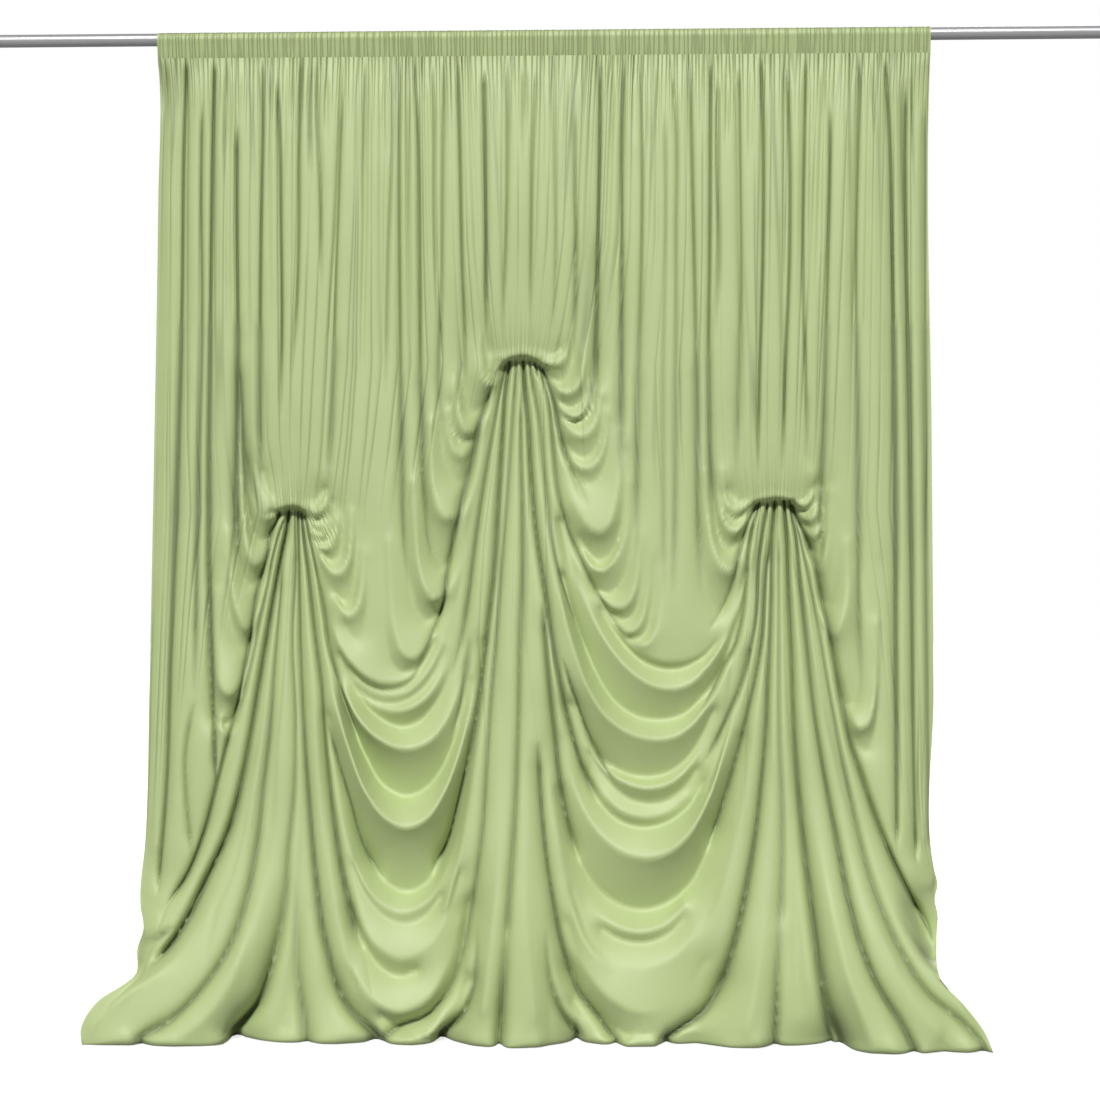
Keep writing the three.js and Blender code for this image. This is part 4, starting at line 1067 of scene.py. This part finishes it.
# Waves of the bunches: units over which the wave turns by a radian, height, shift
ROLL_WAVES = ((17.0, 1.0, 0.0), (9.3, 0.7, 1.0), (31.0, 0.5, 2.0))
ROLL_END = 16.0
ROLL_END_SHARE = 0.04
ROLL_STEPS = 6
ROLL_TURN_DEG = 125
FLOOR_GAP = 0.0012


def foot_radius(x):
    """Radius of the rounded foot, which bunches unevenly."""
    waves = sum(height * np.sin(x / length + shift) for length, height, shift in ROLL_WAVES)
    ends = share_of(np.minimum(x - x[0], x[-1] - x), ROLL_END)
    tapered = np.sqrt(ROLL_END_SHARE + (1 - ROLL_END_SHARE) * ends)
    return (ROLL_RADIUS + ROLL_UNEVEN * waves) * tapered * UNIT


def floor_roll(foot, radius):
    """Rows of the rounded foot that turns under on the floor."""
    rows = []
    for angle in np.radians(np.linspace(ROLL_TURN_DEG / ROLL_STEPS, ROLL_TURN_DEG, ROLL_STEPS)):
        place = foot.copy()
        place[:, 1] += radius * (1 - math.cos(angle))
        place[:, 2] = radius * (1 - math.sin(angle)) + FLOOR_GAP
        rows.append(place)
    return np.array(rows)


def pleated_share(hung, y):
    """How much of the material's small pleats shows: all in the hanging cloth, some in the fans."""
    pleated = share_of(read_table(SMALL_ENDS, hung) - y, PLEATS_FADE)
    for left, right, gather_y in FANS:
        in_fan = share_of(hung - left, FAN_SIDE_FADE) * share_of(right - hung, FAN_SIDE_FADE)
        below = share_of(y - gather_y, FAN_TOP_FADE) * share_of(FAN_PLEATS_END - y, FAN_PLEATS_FADE)
        pleated = np.maximum(pleated, FAN_PLEATS * in_fan * below)
    return pleated


def shirred_share(x, y):
    """How much of the material's shirring shows: below the seam and round the gathers."""
    shirr = share_of(SHIRR_END - y, SHIRR_END - SEAM_Y) ** SHIRR_POWER
    for gather_x, gather_y in GATHERS:
        near = np.exp(-np.hypot(x - gather_x, y - gather_y) / GATHER_SHIRR_REACH)
        shirr = np.maximum(shirr, GATHER_SHIRR * near)
    return shirr


def cloth_block(field, levels, columns):
    """Places as seen, world places and marks of the cloth's points on the given rows and columns."""
    x, y, hung, spread = cloth_grid(levels, columns)
    grown = share_of(y - SEAM_Y, GROWTH_LENGTH) ** GROWTH_POWER
    squares, shade_lines = valleys(x, y)
    depths = np.sqrt(squares + small_valleys(hung, spread, y))
    out = (read_grid(field, CELL, x, y) + STAND_OUT - depths) * grown + SEAM_OUT / UNIT * (1 - grown)
    out = np.maximum(out, BACK_LIMIT + FOOT_FORWARD * share_of(y - FORWARD_Y, FLOOR_Y - FORWARD_Y))
    out = np.where(out > FRONT_EASE, FRONT_EASE + (out - FRONT_EASE) * FRONT_SHARE, out)
    # painted_shade holds the painted shade lines along the valleys' bottoms
    marks = {"hung": hung, "shirr": shirred_share(x, y), "down": y, "pleated": pleated_share(hung, y),
             "painted_shade": shade_lines * grown}
    return x, y, real_place(x, y, out), marks


def make_curtain():
    """The cloth below the heading, in a block of many columns over a block of many rows."""
    field = hanging_shape(hanging_shape(None))
    levels = row_levels()
    _, _, upper, upper_marks = cloth_block(field, levels[levels < SPLIT_Y], upper_columns())
    x, y, lower, lower_marks = cloth_block(field, levels[levels >= SPLIT_Y], lower_columns())
    upper[0, :, 2] = SEAM_Z
    radius = foot_radius(x[-1])
    settle = share_of(y - SETTLE_Y, FLOOR_Y - SETTLE_Y) ** 2
    lower[:, :, 2] -= settle * (lower[-1, :, 2] - radius)
    roll = floor_roll(lower[-1], radius)
    cloth = make_mesh("curtain_cloth", [upper, np.concatenate([lower, roll])])
    for name, values in lower_marks.items():
        rolled = np.repeat(values[-1:], len(roll), axis=0)
        mark(cloth, name, np.concatenate([upper_marks[name].ravel(), values.ravel(), rolled.ravel()]))
    return cloth, upper[0, 0, 0], upper[0, -1, 0]


# Spandex: its two greens and the dark green of the painted shade in its creases
LIGHT_GREEN = (0.47, 0.565, 0.256, 1.0)
DEEP_GREEN = (0.442, 0.537, 0.235, 1.0)
PAINTED_SHADE_GREEN = (0.06, 0.09, 0.02, 1.0)
# Long cells that its small pleats and its shirring follow: width across the hanging cloth, length
PLEAT_CELL = (14.0, 900.0)
SHIRR_CELL = (4.6, 190.0)
PATCH_CELL = (34.0, 260.0)
# How dark the painted shade along its pleat lines, shirring lines and creases is, and the most that it
# darkens together
PLEAT_SHADE_DARK = 0.35
SHIRR_SHADE_DARK = 0.4
PAINTED_SHADE_DARK = 0.9
DARKEST_SHADE = 0.8
# Bump heights in metres
KNIT_HEIGHT = 0.00006
CREASE_HEIGHT = 0.003


def add_node(tree, kind, **sockets):
    """A node with numbers set on its sockets."""
    node = tree.nodes.new(kind)
    for name, value in sockets.items():
        node.inputs[name.replace("_", " ")].default_value = value
    return node


def new_material(name):
    """A material, its node tree and its shader."""
    material = bpy.data.materials.new(name)
    material.use_nodes = True
    tree = material.node_tree
    return material, tree, tree.nodes["Principled BSDF"]


def math_node(tree, operation, first, second):
    """Result of an operation on two sockets, or on a socket and a number."""
    node = tree.nodes.new("ShaderNodeMath")
    node.operation = operation
    for socket, value in zip(node.inputs, (first, second)):
        if isinstance(value, float):
            socket.default_value = value
        else:
            tree.links.new(value, socket)
    return node.outputs["Value"]


def attribute(tree, name):
    """A mark of the mesh's points."""
    node = tree.nodes.new("ShaderNodeAttribute")
    node.attribute_name = name
    return node.outputs["Fac"]


def along_folds(tree, cell):
    """Coordinates that count cells of a width and length across and down the folds."""
    flow = tree.nodes.new("ShaderNodeCombineXYZ")
    for axis, name, size in zip("XY", ("hung", "down"), cell):
        tree.links.new(math_node(tree, "DIVIDE", attribute(tree, name), size), flow.inputs[axis])
    return flow.outputs["Vector"]


def crease_distance(tree, cell):
    """Distance from the nearest crease of a web of long cells that follows the folds."""
    cells = add_node(tree, "ShaderNodeTexVoronoi", Scale=1.0)
    cells.voronoi_dimensions = "2D"
    cells.feature = "DISTANCE_TO_EDGE"
    tree.links.new(along_folds(tree, cell), cells.inputs["Vector"])
    return cells.outputs["Distance"]


def ease_node(tree, value, low, high, to_low=0.0, to_high=1.0):
    """A value eased from one range into another."""
    node = add_node(tree, "ShaderNodeMapRange", From_Min=low, From_Max=high, To_Min=to_low, To_Max=to_high)
    node.interpolation_type = "SMOOTHSTEP"
    tree.links.new(value, node.inputs["Value"])
    return node.outputs["Result"]


def bump_node(tree, height, distance, before=None):
    """A normal bent by a height, on top of the bump before it."""
    node = add_node(tree, "ShaderNodeBump", Strength=1.0, Distance=distance)
    tree.links.new(height, node.inputs["Height"])
    if before is not None:
        tree.links.new(before, node.inputs["Normal"])
    return node.outputs["Normal"]


def spandex_colour_and_shade(tree, place, pleat_shade_line, shirr_shade_line):
    """Two close greens in clouds, with painted shade along the pleat and shirring lines, in the creases and
    along the heading's top edge.
    """
    cloud = add_node(tree, "ShaderNodeTexNoise", Scale=5.0, Detail=4.0)
    ramp = tree.nodes.new("ShaderNodeValToRGB")
    deep, light = ramp.color_ramp.elements
    deep.position = 0.3
    deep.color = DEEP_GREEN
    light.position = 0.7
    light.color = LIGHT_GREEN
    tree.links.new(place, cloud.inputs["Vector"])
    tree.links.new(cloud.outputs["Fac"], ramp.inputs["Fac"])
    # painted shade: the pleat lines, shirring lines and valley lines darken the colour towards a dark green
    shade = math_node(tree, "ADD", math_node(tree, "MULTIPLY", pleat_shade_line, PLEAT_SHADE_DARK),
                      math_node(tree, "MULTIPLY", shirr_shade_line, SHIRR_SHADE_DARK))
    painted_shade = math_node(tree, "MULTIPLY", attribute(tree, "painted_shade"), PAINTED_SHADE_DARK)
    shade = math_node(tree, "MINIMUM", math_node(tree, "ADD", shade, painted_shade), DARKEST_SHADE)
    darker = tree.nodes.new("ShaderNodeMix")
    darker.data_type = "RGBA"
    darker.inputs["B"].default_value = PAINTED_SHADE_GREEN
    tree.links.new(shade, darker.inputs["Factor"])
    tree.links.new(ramp.outputs["Color"], darker.inputs["A"])
    return darker.outputs["Result"]


def spandex_material():
    """Stretch knit with a soft sheen, finely creased along the folds, with painted shade in its creases."""
    material, tree, shader = new_material("spandex")
    shader.inputs["Roughness"].default_value = 0.6
    shader.inputs["Specular IOR Level"].default_value = 0.9
    shader.inputs["Sheen Weight"].default_value = 0.05
    shader.inputs["Sheen Roughness"].default_value = 0.4
    place = tree.nodes.new("ShaderNodeTexCoord").outputs["Object"]
    patches = add_node(tree, "ShaderNodeTexNoise", Scale=1.0, Detail=1.0)
    tree.links.new(along_folds(tree, PATCH_CELL), patches.inputs["Vector"])
    patchy = ease_node(tree, patches.outputs["Fac"], 0.35, 0.62, 0.15, 1.0)
    pleated = math_node(tree, "MULTIPLY", attribute(tree, "pleated"), patchy)
    shirr = attribute(tree, "shirr")
    wide = crease_distance(tree, PLEAT_CELL)
    fine = crease_distance(tree, SHIRR_CELL)
    # painted shade along the pleat and shirring lines, besides the bumps below
    pleat_shade_line = math_node(tree, "MULTIPLY", ease_node(tree, wide, 0.0, 0.08, 1.0, 0.0), pleated)
    shirr_shade_line = math_node(tree, "MULTIPLY", ease_node(tree, fine, 0.0, 0.16, 1.0, 0.0), shirr)
    tree.links.new(spandex_colour_and_shade(tree, place, pleat_shade_line, shirr_shade_line), shader.inputs["Base Color"])

    knit = add_node(tree, "ShaderNodeTexNoise", Scale=900.0, Detail=2.0)
    tree.links.new(place, knit.inputs["Vector"])
    normal = bump_node(tree, knit.outputs["Fac"], KNIT_HEIGHT)
    tubes = math_node(tree, "MULTIPLY", ease_node(tree, wide, -0.1, 0.2), pleated)
    normal = bump_node(tree, tubes, CREASE_HEIGHT, normal)
    ticks = math_node(tree, "MULTIPLY", ease_node(tree, fine, -0.1, 0.25), shirr)
    normal = bump_node(tree, ticks, CREASE_HEIGHT, normal)
    tree.links.new(normal, shader.inputs["Normal"])
    return material


def stretched_place(tree, stretch):
    """Coordinates of the object, stretched along its axes."""
    places = tree.nodes.new("ShaderNodeTexCoord")
    node = add_node(tree, "ShaderNodeMapping", Scale=stretch)
    tree.links.new(places.outputs["Object"], node.inputs["Vector"])
    return node.outputs["Vector"]


def rod_material():
    """Satin metal with a faint grain along the rod."""
    material, tree, shader = new_material("rod_metal")
    link = tree.links.new
    shader.inputs["Metallic"].default_value = 0.45
    grain = add_node(tree, "ShaderNodeTexNoise", Scale=6.0, Detail=5.0)
    tone = tree.nodes.new("ShaderNodeValToRGB")
    tone.color_ramp.elements[0].color = (0.42, 0.42, 0.43, 1.0)
    tone.color_ramp.elements[1].color = (0.55, 0.55, 0.56, 1.0)
    rough = add_node(tree, "ShaderNodeMapRange", To_Min=0.28, To_Max=0.42)
    link(stretched_place(tree, (0.6, 60.0, 60.0)), grain.inputs["Vector"])
    link(grain.outputs["Fac"], tone.inputs["Fac"])
    link(tone.outputs["Color"], shader.inputs["Base Color"])
    link(grain.outputs["Fac"], rough.inputs["Value"])
    link(rough.outputs["Result"], shader.inputs["Roughness"])
    return material


def make_camera():
    """Camera at the photograph's place: level, a little right of the middle and turned back."""
    data = bpy.data.cameras.new("camera")
    data.sensor_width = SENSOR_MM
    data.lens = SENSOR_MM * EYE_DISTANCE / FRAME_UNITS
    data.clip_end = CAMERA_REACH
    camera = add_object("camera", data)
    ahead = EYE_DISTANCE * math.cos(VIEW_TURN) * UNIT
    camera.location = (EYE_ACROSS * UNIT, ROD_Y - ahead, EYE_HEIGHT * UNIT)
    camera.rotation_euler = (math.pi / 2, 0.0, VIEW_TURN)
    bpy.context.scene.camera = camera


def make_floor():
    """Pale floor that brightens into the white of the studio away from the curtain."""
    mesh = bpy.data.meshes.new("floor")
    corners = [(-FLOOR_SIDE, -FLOOR_SIDE, 0), (FLOOR_SIDE, -FLOOR_SIDE, 0),
               (FLOOR_SIDE, FLOOR_SIDE, 0), (-FLOOR_SIDE, FLOOR_SIDE, 0)]
    mesh.from_pydata(corners, [], [(0, 1, 2, 3)])
    material, tree, shader = new_material("floor")
    shader.inputs["Base Color"].default_value = (0.35, 0.35, 0.35, 1.0)
    shader.inputs["Roughness"].default_value = 0.9
    shader.inputs["Emission Color"].default_value = (1.0, 1.0, 1.0, 1.0)
    distance = tree.nodes.new("ShaderNodeVectorMath")
    distance.operation = "LENGTH"
    tree.links.new(stretched_place(tree, (0.6, 2.0, 0.0)), distance.inputs[0])
    glow = ease_node(tree, distance.outputs["Value"], 0.7, 2.2, 0.76, 1.0)
    path = tree.nodes.new("ShaderNodeLightPath")
    seen = math_node(tree, "MULTIPLY", glow, path.outputs["Is Camera Ray"])
    tree.links.new(seen, shader.inputs["Emission Strength"])
    mesh.materials.append(material)
    add_object("floor", mesh)


def make_lamp(name, strength, size_deg, place):
    """Distant soft light that shines from a place on to the curtain's foot."""
    data = bpy.data.lights.new(name, "SUN")
    data.energy = strength
    data.angle = math.radians(size_deg)
    lamp = add_object(name, data)
    lamp.location = place
    lamp.rotation_euler = (math.atan2(math.hypot(place[0], place[1]), place[2]), 0.0,
                           math.atan2(place[0], -place[1]))


def make_studio():
    """White studio that is seen at full strength and lights the curtain only faintly."""
    make_floor()
    make_lamp("key", KEY_STRENGTH, KEY_SIZE_DEG, KEY_PLACE)
    make_lamp("back", BACK_STRENGTH, BACK_SIZE_DEG, BACK_PLACE)
    world = bpy.data.worlds.new("studio")
    world.use_nodes = True
    bpy.context.scene.world = world
    tree = world.node_tree
    background = tree.nodes["Background"]
    background.inputs["Color"].default_value = (1.0, 1.0, 1.0, 1.0)
    path = tree.nodes.new("ShaderNodeLightPath")
    strength = add_node(tree, "ShaderNodeMapRange", To_Min=0.09, To_Max=1.0)
    tree.links.new(path.outputs["Is Camera Ray"], strength.inputs["Value"])
    tree.links.new(strength.outputs["Result"], background.inputs["Strength"])
    bpy.context.scene.view_settings.view_transform = "Standard"


curtain, left_end, right_end = make_curtain()
heading = make_heading(left_end, right_end)
spandex = spandex_material()
for piece in (curtain, heading):
    piece.data.materials.append(spandex)
    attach(piece, "root")
    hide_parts("curtain")

rod = bpy.data.objects["rod"]
rod.data.materials.clear()
rod.data.materials.append(rod_material())

make_camera()
make_studio()
